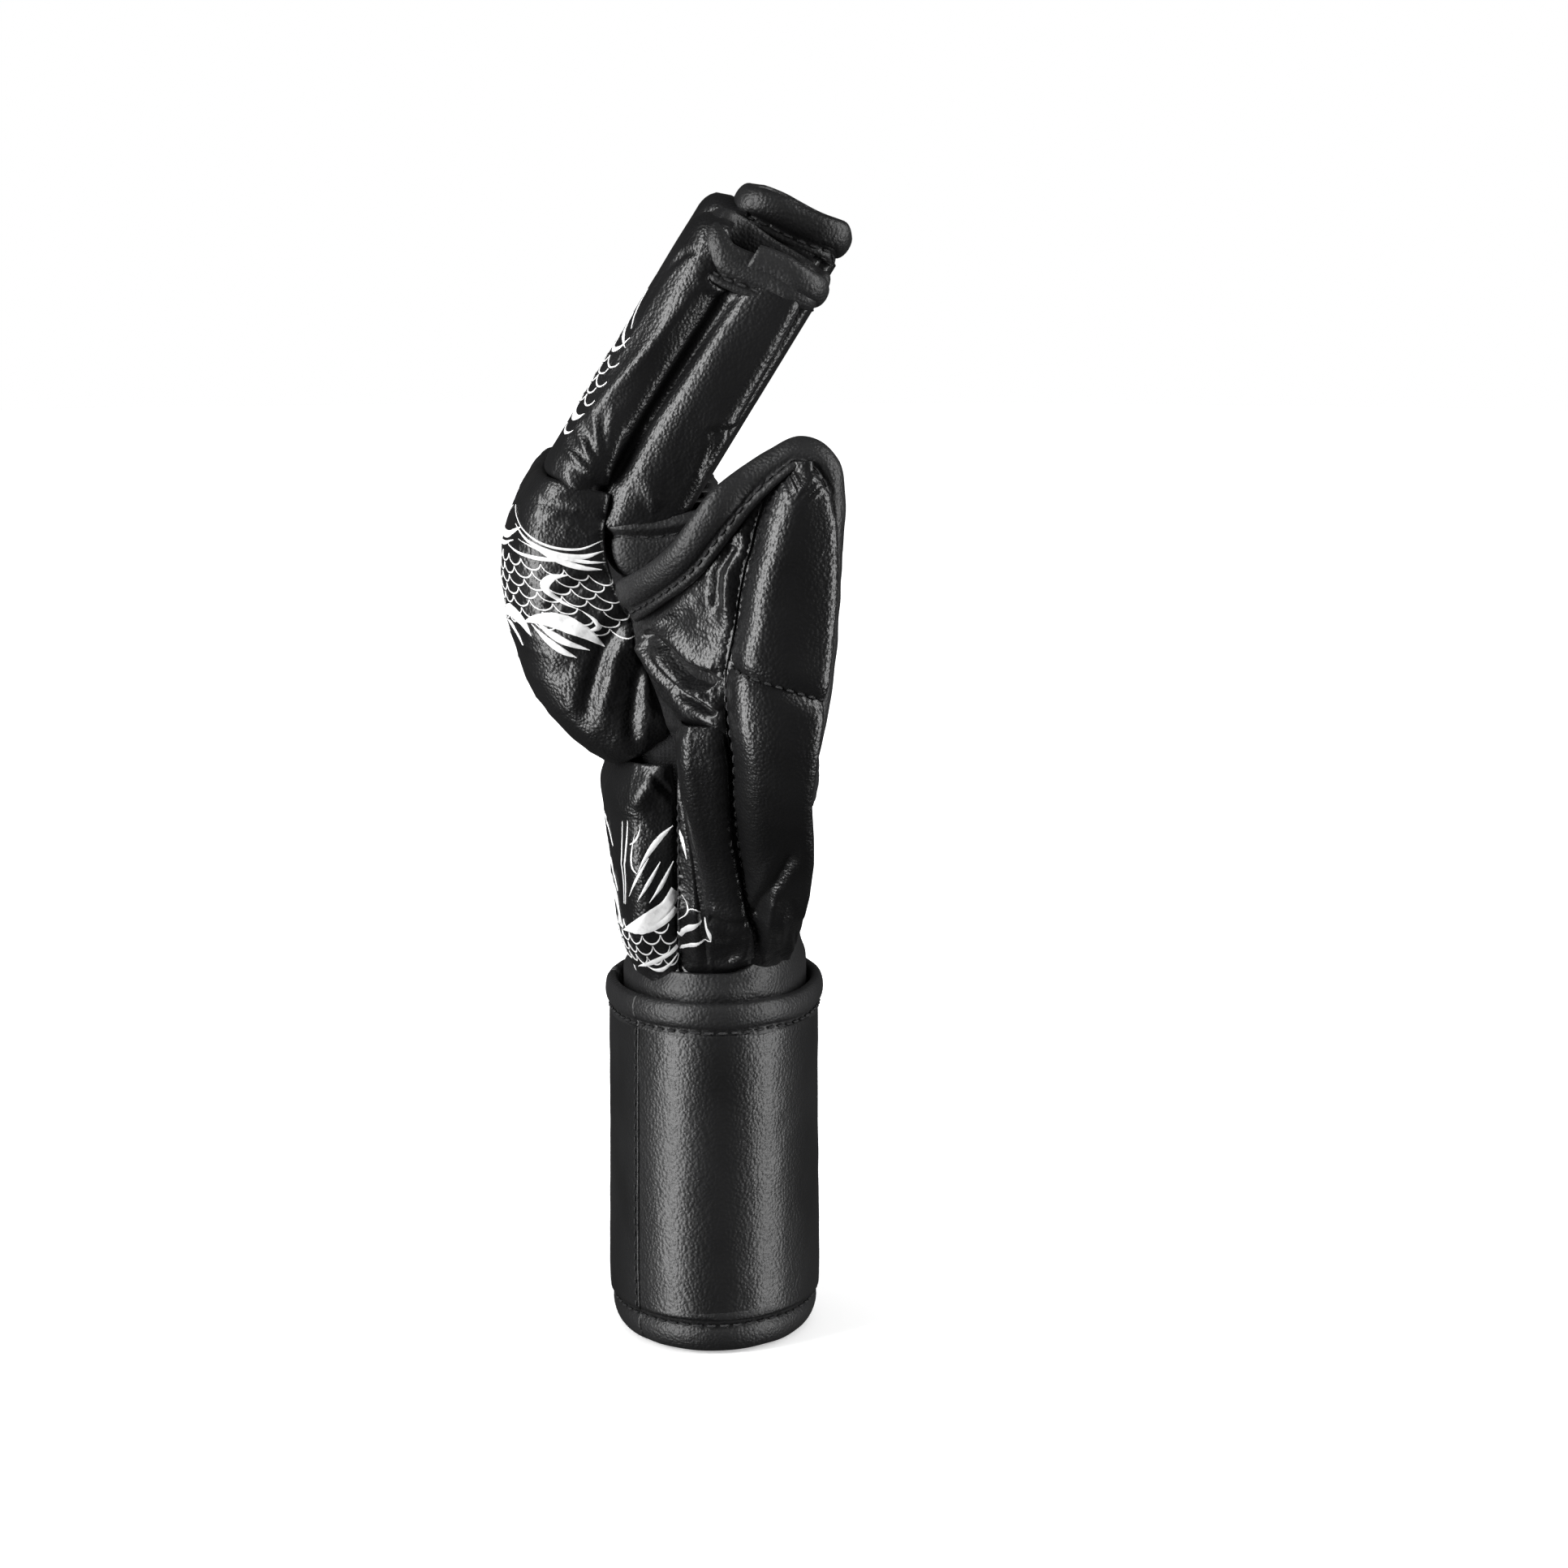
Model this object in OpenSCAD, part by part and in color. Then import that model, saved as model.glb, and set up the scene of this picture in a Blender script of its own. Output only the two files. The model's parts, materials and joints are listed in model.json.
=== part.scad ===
// Hybrid martial-arts glove for a left hand, standing on its wrist cuff.
// +Z runs from the wrist to the fingers, -X is the back of the hand, +X the palm,
// -Y the thumb side. The origin is the middle of the wrist opening.

/* [Cuff] */
// Back-to-palm depth of the strapped cuff
cuff_depth = 53; // [48:0.5:58]
// Thumb-to-little-finger width of the strapped cuff
cuff_width = 74; // [68:0.5:80]
// Height of the strap, bindings included
cuff_height = 89; // [86:0.5:90]
// Height of the bound edge along the top of the strap
cuff_top_binding = 10; // [8:0.5:12]
// Height of the bound edge along the bottom of the strap
cuff_bottom_binding = 11.5; // [8:0.5:13]
// Angle around the cuff where the strap's stitched hinge lies
strap_hinge_angle = -6; // [-10:1:-4]
// Angle around the cuff of the stitched fold between strap and tail
strap_fold_angle = -135; // [-140:1:-130]
// Angle around the cuff where the strap's tail ends
strap_end_angle = -183; // [-184:1:-175]

/* [Fingers] */
// Lean of the finger compartments towards the palm
finger_lean = 31.5; // [28:0.5:35]
// Spacing of the finger compartments across the hand
finger_pitch = 23.8; // [23.6:0.1:24.4]
// Reach of the index compartment beyond its knuckle
index_reach = 74; // [68:1:78]
// Reach of the middle compartment beyond its knuckle
middle_reach = 84; // [78:1:88]
// Reach of the ring compartment beyond its knuckle
ring_reach = 77; // [70:1:82]
// Reach of the little compartment beyond its knuckle
little_reach = 67; // [60:1:72]
// Thickness of the padding over a finger
finger_pad = 17; // [15:0.5:18]
// Height of the bound edge at a finger tip
tip_binding = 11; // [9:0.5:13]

/* [Padding] */
// Thickness of the cover leather
leather = 1.6; // [1.2:0.1:2]
// Thickness of the foam over the thumb
thumb_foam_t = 6; // [5:0.5:6.5]

/* [Hidden] */
gap = 0.3;            // clearance between neighbouring pieces
knuckle = [-16, 206]; // X and Z of the finger hinge line
sleeve_back = -11;    // back face of a finger sleeve, measured from the hinge line
sleeve_front = 9;     // palm face of a finger sleeve
sleeve_wall = 1.6;
sleeve_w = 20.6;
slot_w = 23.2;        // width that one finger compartment fills
pad_front = sleeve_back - gap;           // where the padding over a finger starts
pad_back = pad_front - finger_pad;       // back face of that padding
wrist_layer = 5.2;    // depth of the wrist sleeve's face under the cuff's face
strap_t = 1.8;
lining_t = 0.8;
crease = [171.5, 176.5]; // heights that the thumb's bending seam lies between
arc_steps = 14;       // steps across a padded arch
ring_steps = 32;      // steps around a closed oval
square_arch = 0.62;   // below 1 an arch gets fuller shoulders
LEATHER = "#1b1b1c";
MATTE = "#262627";
FOAM = "#5a5d60";
CLOTH = "#141416";
TAPE = "#2c2c2e";

FINGERS = [
    ["index", -1.5 * finger_pitch, index_reach],
    ["middle", -0.5 * finger_pitch, middle_reach],
    ["ring", 0.5 * finger_pitch, ring_reach],
    ["little", 1.5 * finger_pitch, little_reach]];
FINGER_PARTS = ["cover", "foam", "sleeve", "tip_binding", "base_binding"];
HAND_NODES = [
    "back_lining", "knuckle_foam", "knuckle_cover", "wrist_foam", "wrist_cover",
    "radial_gusset", "ulnar_gusset", "palm_panel", "palm_binding", "thenar_foam",
    "thenar_cover", "thenar_binding", "wrist_sleeve", "sleeve_collar", "anchor_panel",
    "anchor_top_binding", "anchor_bottom_binding", "loop_tape", "strap_panel",
    "strap_lining", "strap_top_binding", "strap_bottom_binding", "tail_panel",
    "tail_top_binding", "tail_bottom_binding", "hook_tape", "thumb_cover",
    "thumb_foam", "thumb_lining", "thumb_loop", "thumb_binding"];

// ---- stations: [side X, side Z, crown X, crown Z, radial half width, ulnar half width]
lining_stations = [
    [-4, 93, -19.5, 93, 30.5, 30.5],
    [-5, 118, -20, 118, 34, 34],
    [-7, 143, -20.5, 143, 39, 39],
    [-8.5, 153, -22.5, 154.5, 41.5, 41.5],
    [-12.5, 166, -25.5, 169, 43.5, 43.5],
    [-23, 183, -31, 187, 43.5, 43.5],
    [-31, 197, -34, 201, 43.5, 43.5],
    [-30.8, 214.4, -32.5, 215.4, 43.5, 43.5]];
knuckle_stations = [
    [-9, 149, -24.5, 144.5, 43, 43],
    [-9.5, 156, -35.5, 154.5, 45.5, 45.5],
    [-13.5, 168, -45.5, 170.5, 46.8, 46.8],
    [-20, 187, -50.7, 190, 47.2, 47.2],
    [-29.5, 199, -49, 204, 47.2, 47.2],
    [-34, 215.4, -40.5, 220.3, 47.2, 47.2]];
wrist_stations = [
    [-3.6, 93.5, -22.9, 93.5, 33.4, 33],
    [-5.1, 112, -24.6, 112, 37.9, 35.5],
    [-7, 132, -26.4, 132, 41.4, 38.7],
    [-7.6, 141, -26.2, 141, 42.8, 41]];
palm_stations = [
    [5, 93, 21.5, 93, 30, 31],
    [7, 112, 22.3, 112, 35, 34.5],
    [10, 128, 23.5, 128, 43, 38],
    [16, 140, 24, 140, 51, 40]];

// ---- points and grids
function smooth(t) = let (c = min(1, max(0, t))) c * c * (3 - 2 * c);
function power(v, e) = sign(v) * pow(abs(v), e);
function arch_point(s, phi) = let (k = pow(max(0, cos(phi)), square_arch)) [
    s[0] + (s[2] - s[0]) * k,
    power(sin(phi), square_arch) * (phi < 0 ? s[4] : s[5]),
    s[1] + (s[3] - s[1]) * k];
// Rows of points over the stations, pushed in from the crown and the sides by d
function arch_grid(stations, d = 0, out = -1) = [for (s = stations)
    [for (j = [0:arc_steps]) arch_point(
        [s[0], s[1], s[2] - out * d, s[3], s[4] - d, s[5] - d],
        -90 + 180 * j / arc_steps)]];

// Closed solid between two grids of the same size
module slab(outer, inner) {
    rows = len(outer);
    cols = len(outer[0]);
    n = rows * cols;
    at = function(i, j) i * cols + j;
    points = concat([for (r = outer) each r], [for (r = inner) each r]);
    cells = [for (i = [0:rows - 2], j = [0:cols - 2]) [i, j]];
    faces = concat(
        [for (c = cells) [at(c[0], c[1]), at(c[0], c[1] + 1), at(c[0] + 1, c[1] + 1)]],
        [for (c = cells) [at(c[0], c[1]), at(c[0] + 1, c[1] + 1), at(c[0] + 1, c[1])]],
        [for (c = cells) [n + at(c[0], c[1]), n + at(c[0] + 1, c[1] + 1), n + at(c[0], c[1] + 1)]],
        [for (c = cells) [n + at(c[0], c[1]), n + at(c[0] + 1, c[1]), n + at(c[0] + 1, c[1] + 1)]],
        [for (j = [0:cols - 2]) each walls(at(0, j + 1), at(0, j), n)],
        [for (j = [0:cols - 2]) each walls(at(rows - 1, j), at(rows - 1, j + 1), n)],
        [for (i = [0:rows - 2]) each walls(at(i, 0), at(i + 1, 0), n)],
        [for (i = [0:rows - 2]) each walls(at(i + 1, cols - 1), at(i, cols - 1), n)]);
    polyhedron(points, faces, convexity = 8);
}
function walls(a, b, n) = [[a, b, n + b], [a, n + b, n + a]];

// Padded round cord along a path, w wide across the depth direction and h thick along it
module bound_edge(path, w, h, depth = [0, 1, 0], sides = 8) {
    m = len(path) - 1;
    rings = [for (i = [0:m])
        let (
            t = unit(path[min(m, i + 1)] - path[max(0, i - 1)]),
            a = unit(cross(t, depth)),
            b = cross(a, t))
        [for (k = [0:sides - 1])
            path[i] + a * w / 2 * cos(360 * k / sides) + b * h / 2 * sin(360 * k / sides)]];
    points = [for (r = rings) each r];
    faces = concat(
        [[for (k = [0:sides - 1]) sides - 1 - k]],
        [for (i = [0:m - 1], k = [0:sides - 1])
            each let (a = i * sides + k, b = i * sides + (k + 1) % sides)
            [[a, b, b + sides], [a, b + sides, a + sides]]],
        [[for (k = [0:sides - 1]) m * sides + k]]);
    polyhedron(points, faces, convexity = 8);
}
function unit(v) = v / norm(v);

// ---- cuff outlines
function oval(d, a) = [(cuff_depth / 2 - d) * cos(a), (cuff_width / 2 - d) * sin(a)];
// Strip of the cuff wall from angle a to b, between depths d0 and d1 under its face
function wall_strip(d0, d1, a, b) = let (n = ceil(abs(b - a) / 360 * ring_steps) + 1) concat(
    [for (i = [0:n]) oval(d0, a + (b - a) * i / n)],
    [for (i = [n:-1:0]) oval(d1, a + (b - a) * i / n)]);
module cuff_strip(z0, z1, d0, d1, a, b)
    translate([0, 0, z0]) linear_extrude(z1 - z0) polygon(wall_strip(d0, d1, a, b));
module cuff_tube(z0, z1, d0, d1)
    translate([0, 0, z0]) linear_extrude(z1 - z0) difference() {
        polygon([for (i = [0:ring_steps - 1]) oval(d0, 360 * i / ring_steps)]);
        polygon([for (i = [0:ring_steps - 1]) oval(d1, 360 * i / ring_steps)]);
    }
panel_z = [cuff_bottom_binding, cuff_height - cuff_top_binding];
module body_panel(a, b, d0 = 0.4, d1 = 0.4 + strap_t) cuff_strip(panel_z[0], panel_z[1], d0, d1, a, b);
module top_edge(a, b) cuff_strip(panel_z[1], cuff_height, 0, strap_t + lining_t + 0.8, a, b);
module bottom_edge(a, b) cuff_strip(0, panel_z[0], 0, strap_t + lining_t + 0.8, a, b);

// ---- thumb side: one swelling surface, from the side of the hand out over the thumb
thumb_crown_x = 16;
hand_side = function(z) lookup(z, [[95, 34], [112, 38.5], [143, 44], [160, 47.8], [171.5, 48.6],
    [176.5, 50], [188, 50.6]]);
thumb_out = function(z) 42 + 36 * smooth((z - 95) / 72) - 4 * smooth((z - 200) / 50);
left_edge = function(z) lookup(z,
    [[95, -3], [140, -7], [158, -9.5], [171.5, -14], [182, -16.5], [188.4, -15.6], [202, -2.5],
    [211.6, 3.9], [217.6, 12], [223, 20.9]]);
right_edge = function(z) lookup(z,
    [[95, 20.5], [120, 21], [147, 21.5], [176.5, 22.5], [192, 24], [208, 24.7], [219, 24], [223, 23]]);
rim_proud = 1.9; // how far the rim stands out of the shield
// Middle of the shield's bound rim, X and Z, from the index finger over the thumb tip to the crease
thumb_rim = [[-17.6, 192], [-12, 198], [-5.5, 205], [1.5, 214.5], [9.5, 221], [18, 226.5],
    [22.5, 227.5], [26.3, 225], [28.6, 219], [29, 208], [28.4, 194], [27, 178]];
function thumb_y(x, z, d = 0) = let (
    side = hand_side(z),
    start = min(left_edge(z), -14),
    t = x < thumb_crown_x
        ? (thumb_crown_x - x) / (thumb_crown_x - start)
        : (x - thumb_crown_x) / 26)
    -(side + (thumb_out(z) - side) * (1 - t * t) - d);
function thumb_grid(z0, z1, x0, x1, d, rows, cols) = [for (i = [0:rows])
    let (z = z0 + (z1 - z0) * i / rows, a = x0(z), b = x1(z))
    [for (j = [0:cols]) let (x = a + (b - a) * j / cols) [x, thumb_y(x, z, d), z]]];

module radial_patch(z0, z1, x0, x1, d0, d1, rows = 6, cols = 8)
    slab(thumb_grid(z0, z1, x0, x1, d0, rows, cols), thumb_grid(z0, z1, x0, x1, d1, rows, cols));

// ---- hand
module back_lining() color(CLOTH)
    slab(arch_grid(lining_stations), arch_grid(lining_stations, leather));

module knuckle_cover() color(LEATHER)
    slab(arch_grid(knuckle_stations), arch_grid(knuckle_stations, leather));

module knuckle_foam() color(FOAM)
    slab(arch_grid(knuckle_stations, leather + gap),
        arch_grid([for (i = [2:7]) lining_stations[i]], -gap));

// The back lining's stations at the wrist panel's heights
wrist_lining = [for (s = wrist_stations) [
    lookup(s[1], [[93, -4], [118, -5], [143, -7]]), s[1],
    lookup(s[1], [[93, -19.5], [118, -20], [143, -20.5]]), s[3],
    lookup(s[1], [[93, 30.5], [118, 34], [143, 39]]),
    lookup(s[1], [[93, 30.5], [118, 34], [143, 39]])]];
module wrist_cover() color(LEATHER)
    slab(arch_grid(wrist_stations), arch_grid(wrist_stations, leather * 0.6));

module wrist_foam() color(FOAM)
    slab(arch_grid(wrist_stations, leather * 0.6 + 0.1), arch_grid(wrist_lining, -0.1));

module palm_panel() color(LEATHER)
    slab(arch_grid(palm_stations, 2, 1), arch_grid(palm_stations, 0, 1));

// Little-finger side wall of the hand, its palm edge left open
module ulnar_gusset() color(LEATHER) {
    stations = [[93, -2, 4, 32.5], [120, -3.5, 6, 36.5], [143, -5, 14, 41.5],
        [166, -10, 9, 45.5], [188, -20, -3, 46]];
    face = function(d) [for (s = stations) [for (j = [0:4])
        let (t = j / 4) [s[1] + (s[2] - s[1]) * t, s[3] - d - 2 * t * t, s[0]]]];
    slab(face(2), face(0));
}

module radial_gusset() color(LEATHER)
    radial_patch(96, crease[0], left_edge, function(z) 5.6, 0, 2, 6, 4);

module thenar_cover() color(LEATHER)
    radial_patch(100, crease[0], function(z) 6, right_edge, 0, leather);

module thenar_foam() color(FOAM)
    radial_patch(103, crease[0] - 2, function(z) 7, function(z) right_edge(z) - 1.5,
        leather + gap, leather + gap + thumb_foam_t);

// Bound palm edge of the thenar pad
module thenar_binding() color(MATTE)
    bound_edge([for (z = [148:5:168]) let (x = right_edge(z) + 4.2) [x, thumb_y(x, z, -1.3), z]], 7.6, 5);

module palm_binding() color(MATTE) {
    heel = [for (s = [palm_stations[3]], j = [2:arc_steps - 2])
        arch_point(s, -90 + 180 * j / arc_steps) + [-1, 0, 3.4]];
    bound_edge(heel, 5, 6, [0, 0, 1]);
}

// ---- cuff
module wrist_sleeve() color(CLOTH)
    cuff_tube(0, 87.5, wrist_layer, wrist_layer + 1.8);

module sleeve_collar() color(MATTE)
    cuff_tube(87.6, 92.8, wrist_layer - 1.2, wrist_layer + 1.8);

anchor_angles = [strap_hinge_angle + 3, 360 + strap_end_angle - 5];
module anchor_panel() color(LEATHER) body_panel(anchor_angles[0], anchor_angles[1]);
module anchor_top_binding() color(MATTE) top_edge(anchor_angles[0], anchor_angles[1]);
module anchor_bottom_binding() color(MATTE) bottom_edge(anchor_angles[0], anchor_angles[1]);

module loop_tape() color(TAPE)
    cuff_strip(22, 68, wrist_layer - 1.3, wrist_layer - 0.15, 150, 215);

strap_angles = [strap_hinge_angle, strap_fold_angle + 0.8];
module strap_panel() color(LEATHER) body_panel(strap_angles[0], strap_angles[1]);
module strap_lining() color(CLOTH)
    body_panel(strap_angles[0], strap_angles[1], strap_t + 0.45, strap_t + 0.45 + lining_t);
module strap_top_binding() color(MATTE) top_edge(strap_angles[0], strap_angles[1]);
module strap_bottom_binding() color(MATTE) bottom_edge(strap_angles[0], strap_angles[1]);

tail_angles = [strap_fold_angle - 0.8, strap_end_angle];
module tail_panel() color(LEATHER) body_panel(tail_angles[0], tail_angles[1]);
module tail_top_binding() color(MATTE) top_edge(tail_angles[0], tail_angles[1]);
module tail_bottom_binding() color(MATTE) bottom_edge(tail_angles[0], tail_angles[1]);
module hook_tape() color(TAPE)
    cuff_strip(24, 66, strap_t + 0.55, strap_t + 0.55 + lining_t, -148, strap_end_angle + 2);

// ---- thumb, above the crease
module thumb_cover() color(LEATHER)
    radial_patch(crease[1], 222.5, left_edge, right_edge, 0, leather, 9, 10);

module thumb_foam() color(FOAM)
    radial_patch(crease[1] + 1.5, 206, function(z) 7, function(z) right_edge(z) - 1.5,
        leather + gap, leather + gap + thumb_foam_t);

lining_depth = leather + 2 * gap + thumb_foam_t;
module thumb_lining() color(CLOTH)
    radial_patch(crease[1] + 1.5, 206, function(z) 6, function(z) right_edge(z) - 1,
        lining_depth, lining_depth + 1);

// Band that closes round the inside of the thumb
module thumb_loop() color(CLOTH) {
    band = function(d) [for (z = [178:7:206]) [for (j = [0:12])
        let (a = 8 + 164 * j / 12)
        [12.5 + (16 - d) * cos(a), -64.5 + (15 - d) * sin(a), z]]];
    slab(band(0), band(1.2));
}

module thumb_binding() color(MATTE)
    bound_edge([for (p = thumb_rim) [p[0], thumb_y(p[0], p[1], -rim_proud), p[1]]], 7.6, 5);

// ---- fingers, drawn about the hinge line: X towards the palm, Z to the finger tip
module finger_frame(y) translate([knuckle[0], y, knuckle[1]]) rotate([0, finger_lean, 0]) children();

// Rounded rectangle from x0 to x1 and w wide
function soft_box(x0, x1, w, e = 0.35, n = 24) = [for (i = [0:n - 1]) let (a = 360 * i / n) [
    (x0 + x1) / 2 + (x1 - x0) / 2 * power(cos(a), e),
    w / 2 * power(sin(a), e)]];

// Padding over a finger. Its foot leans back, which leaves the finger room to straighten.
foot_z = [3.4, 6.4]; // height of the foot at the sleeve and at the back of the hand
function finger_stations(reach, x, d) = let (top = reach - tip_binding - gap, w = slot_w / 2) [
    [x, foot_z[0] + d, pad_back + 2, foot_z[1] + d, w - 0.4, w - 0.4],
    [x, foot_z[0] + d + 4, pad_back, foot_z[1] + d + 4, w, w],
    [x, top - 20 - d, pad_back, top - 18 - d, w, w],
    [x, top - 6 - d, pad_back + 1.5, top - 4.5 - d, w, w],
    [x, top - 0.8 - d, pad_back + 6, top - 0.8 - d, w - 0.6, w - 0.6]];

module finger_cover(f) color(LEATHER) finger_frame(f[1]) {
    stations = finger_stations(f[2], pad_front, 0);
    slab(arch_grid(stations), arch_grid(stations, leather));
}

module finger_foam(f) color(FOAM) finger_frame(f[1]) {
    stations = finger_stations(f[2], pad_front - 1, 0.6);
    flat = [for (s = stations) [pad_front, s[1], pad_front, s[1], s[4], s[5]]];
    slab(arch_grid(stations, leather + gap), arch_grid(flat, leather + gap, 0));
}

// Closed band round a finger from height z0 to z1
module finger_band(z0, z1, back, front, w, wall)
    translate([0, 0, z0]) linear_extrude(z1 - z0) difference() {
        polygon(soft_box(back, front, w));
        polygon(soft_box(back + wall, front - wall, w - 2 * wall));
    }
module finger_sleeve(f) color(LEATHER) finger_frame(f[1])
    finger_band(2.5, f[2] - tip_binding - gap, sleeve_back, sleeve_front, sleeve_w, sleeve_wall);
module finger_tip_binding(f) color(MATTE) finger_frame(f[1])
    finger_band(f[2] - tip_binding, f[2], pad_back + 7, sleeve_front + 1.3, slot_w - 0.4, 2.8);
module finger_base_binding(f) color(MATTE) finger_frame(f[1])
    finger_band(-6, 2.4, sleeve_back - 0.8, sleeve_front + 1, sleeve_w + 2, 2.4);

back_lining();
knuckle_foam();
knuckle_cover();
wrist_foam();
wrist_cover();
radial_gusset();
ulnar_gusset();
palm_panel();
palm_binding();
thenar_foam();
thenar_cover();
thenar_binding();
wrist_sleeve();
sleeve_collar();
anchor_panel();
anchor_top_binding();
anchor_bottom_binding();
loop_tape();
strap_panel();
strap_lining();
strap_top_binding();
strap_bottom_binding();
tail_panel();
tail_top_binding();
tail_bottom_binding();
hook_tape();
thumb_cover();
thumb_foam();
thumb_lining();
thumb_loop();
thumb_binding();
for (f = FINGERS) {
    finger_cover(f);
    finger_foam(f);
    finger_sleeve(f);
    finger_tip_binding(f);
    finger_base_binding(f);
}
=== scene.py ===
"""Looks of a hybrid martial-arts glove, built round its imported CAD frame.

Lengths in this file are millimetres until a mesh is made. +Z runs to the fingers, -X is the back of
the hand and -Y the thumb side, as in the frame.
"""
import json
import math
from collections import namedtuple

import bpy
import numpy as np
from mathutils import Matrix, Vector, noise


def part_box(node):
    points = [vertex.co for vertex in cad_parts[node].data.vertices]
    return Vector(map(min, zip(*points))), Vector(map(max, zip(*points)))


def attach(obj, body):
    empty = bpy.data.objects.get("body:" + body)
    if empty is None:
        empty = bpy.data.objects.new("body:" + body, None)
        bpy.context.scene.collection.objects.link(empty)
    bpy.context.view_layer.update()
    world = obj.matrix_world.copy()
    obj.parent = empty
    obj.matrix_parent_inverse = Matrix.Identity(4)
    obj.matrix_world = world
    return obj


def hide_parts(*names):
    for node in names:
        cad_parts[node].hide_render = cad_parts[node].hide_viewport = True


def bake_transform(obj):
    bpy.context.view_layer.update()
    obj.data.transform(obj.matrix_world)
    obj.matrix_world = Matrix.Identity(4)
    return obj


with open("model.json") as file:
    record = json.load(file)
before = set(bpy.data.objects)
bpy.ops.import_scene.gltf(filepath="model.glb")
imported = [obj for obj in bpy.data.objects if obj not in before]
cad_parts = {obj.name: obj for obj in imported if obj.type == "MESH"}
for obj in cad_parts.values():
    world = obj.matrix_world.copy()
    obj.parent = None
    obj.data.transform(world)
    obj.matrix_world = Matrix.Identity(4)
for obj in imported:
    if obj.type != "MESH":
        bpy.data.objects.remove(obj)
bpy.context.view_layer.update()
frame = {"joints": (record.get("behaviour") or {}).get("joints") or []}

MM = 0.001
FINGERS = ("index", "middle", "ring", "little")
JOINTS = {joint["name"]: joint for joint in frame["joints"]}


# ---------------------------------------------------------------- frame sizes
def box_mm(node):
    """Lowest and highest corner of a CAD node, in millimetres."""
    low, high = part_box(node)
    return np.array(low) / MM, np.array(high) / MM


STRAP_LOW, STRAP_HIGH = box_mm("strap_top_binding")
CUFF_TOP = STRAP_HIGH[2]
CUFF_A = box_mm("anchor_top_binding")[1][0]
CUFF_B = -STRAP_LOW[1]
KNUCKLE_X, _, KNUCKLE_Z = np.array(JOINTS["index_curl"]["pos_m"]) / MM
LEAN = math.radians(31.5)      # a finger's lean from upright, at rest
CREASE_Z = JOINTS["thumb_spread"]["pos_m"][2] / MM


# ---------------------------------------------------------------- curves and fields
def run_lengths(points):
    """Length along a polyline from its first point to each point."""
    return np.concatenate([[0], np.cumsum(np.linalg.norm(np.diff(points, axis=0), axis=1))])


def unit(rows):
    """The same directions with length 1."""
    return rows / np.linalg.norm(rows, axis=1, keepdims=True)


def closed_loop(rows):
    """The rows with the first one again at the end."""
    return np.concatenate([rows, rows[:1]])


def hermite(keys, values, at):
    """Smooth curve through values at keys, sampled at the given places."""
    keys, values, at = (np.asarray(a, float) for a in (keys, values, at))
    slope = np.gradient(values, keys, axis=0)
    i = np.clip(np.searchsorted(keys, at) - 1, 0, len(keys) - 2)
    span = (keys[i + 1] - keys[i])
    t = np.clip((at - keys[i]) / span, 0, 1)
    if values.ndim > 1:
        span, t = span[:, None], t[:, None]
    return ((2 * t**3 - 3 * t**2 + 1) * values[i] + (t**3 - 2 * t**2 + t) * span * slope[i]
            + (3 * t**2 - 2 * t**3) * values[i + 1] + (t**3 - t**2) * span * slope[i + 1])


def resample(row, count):
    """The same open polyline with evenly spaced points."""
    length = run_lengths(row)
    at = np.linspace(0, length[-1], count)
    return np.stack([np.interp(at, length, row[:, k]) for k in range(3)], axis=1)


def smooth_step(value, low, high):
    t = np.clip((value - low) / (high - low), 0, 1)
    return t * t * (3 - 2 * t)


def path_distance(x, z, path):
    """Distance from every (x, z) to a polyline, and how far along it the nearest place is (0 to 1)."""
    path = np.asarray(path, float)
    best = np.full(np.shape(x), 1e9)
    along = np.zeros(np.shape(x))
    lengths = np.linalg.norm(np.diff(path, axis=0), axis=1)
    total, done = lengths.sum(), 0.0
    for a, b, size in zip(path[:-1], path[1:], lengths):
        t = np.clip(((x - a[0]) * (b[0] - a[0]) + (z - a[1]) * (b[1] - a[1])) / size**2, 0, 1)
        d = np.hypot(x - a[0] - t * (b[0] - a[0]), z - a[1] - t * (b[1] - a[1]))
        along = np.where(d < best, (done + t * size) / total, along)
        best = np.minimum(best, d)
        done += size
    return best, along


def furrow(x, z, path, width, depth):
    """A sewn or folded line: a narrow valley with soft shoulders that fades at both ends."""
    d, along = path_distance(x, z, path)
    fade = np.clip(np.sin(np.pi * np.clip(along, 0.02, 0.98)) * 4, 0, 1)
    valley = np.exp(-(d / width) ** 2)
    shoulder = np.exp(-((d - 2.1 * width) / (1.2 * width)) ** 2)
    return depth * (0.35 * shoulder - valley) * fade


def ridge(x, z, path, width, height):
    """A rounded fold that stands up along a line and fades at both ends."""
    d, along = path_distance(x, z, path)
    fade = np.sin(np.pi * np.clip(along, 0.04, 0.96)) ** 0.6
    return height * np.exp(-(d / width) ** 2) * fade


def folded(rise, x, z, folds):
    """The rise with folds added. A fold is (ridge or furrow, its path in X and Z, width, height or depth)."""
    for shape, path, width, size in folds:
        rise = rise + shape(x, z, path, width, size)
    return rise


def ripple(grid, size, seed, stretch=(1, 1, 1)):
    """Smooth noise from -1 to 1 over a grid of points, with lumps of the given size."""
    scale = np.array(stretch, float) * size
    flat = grid.reshape(-1, 3) / scale + seed * 17.3
    return np.array([noise.noise(Vector(p)) for p in flat]).reshape(grid.shape[:-1])


def sharp_ripple(grid, size, seed, stretch=(1, 1, 1)):
    """Noise with soft tops and narrow valleys, like creased leather."""
    return 1 - 2 * np.sqrt(np.abs(ripple(grid, size, seed, stretch)) + 0.002)


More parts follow.
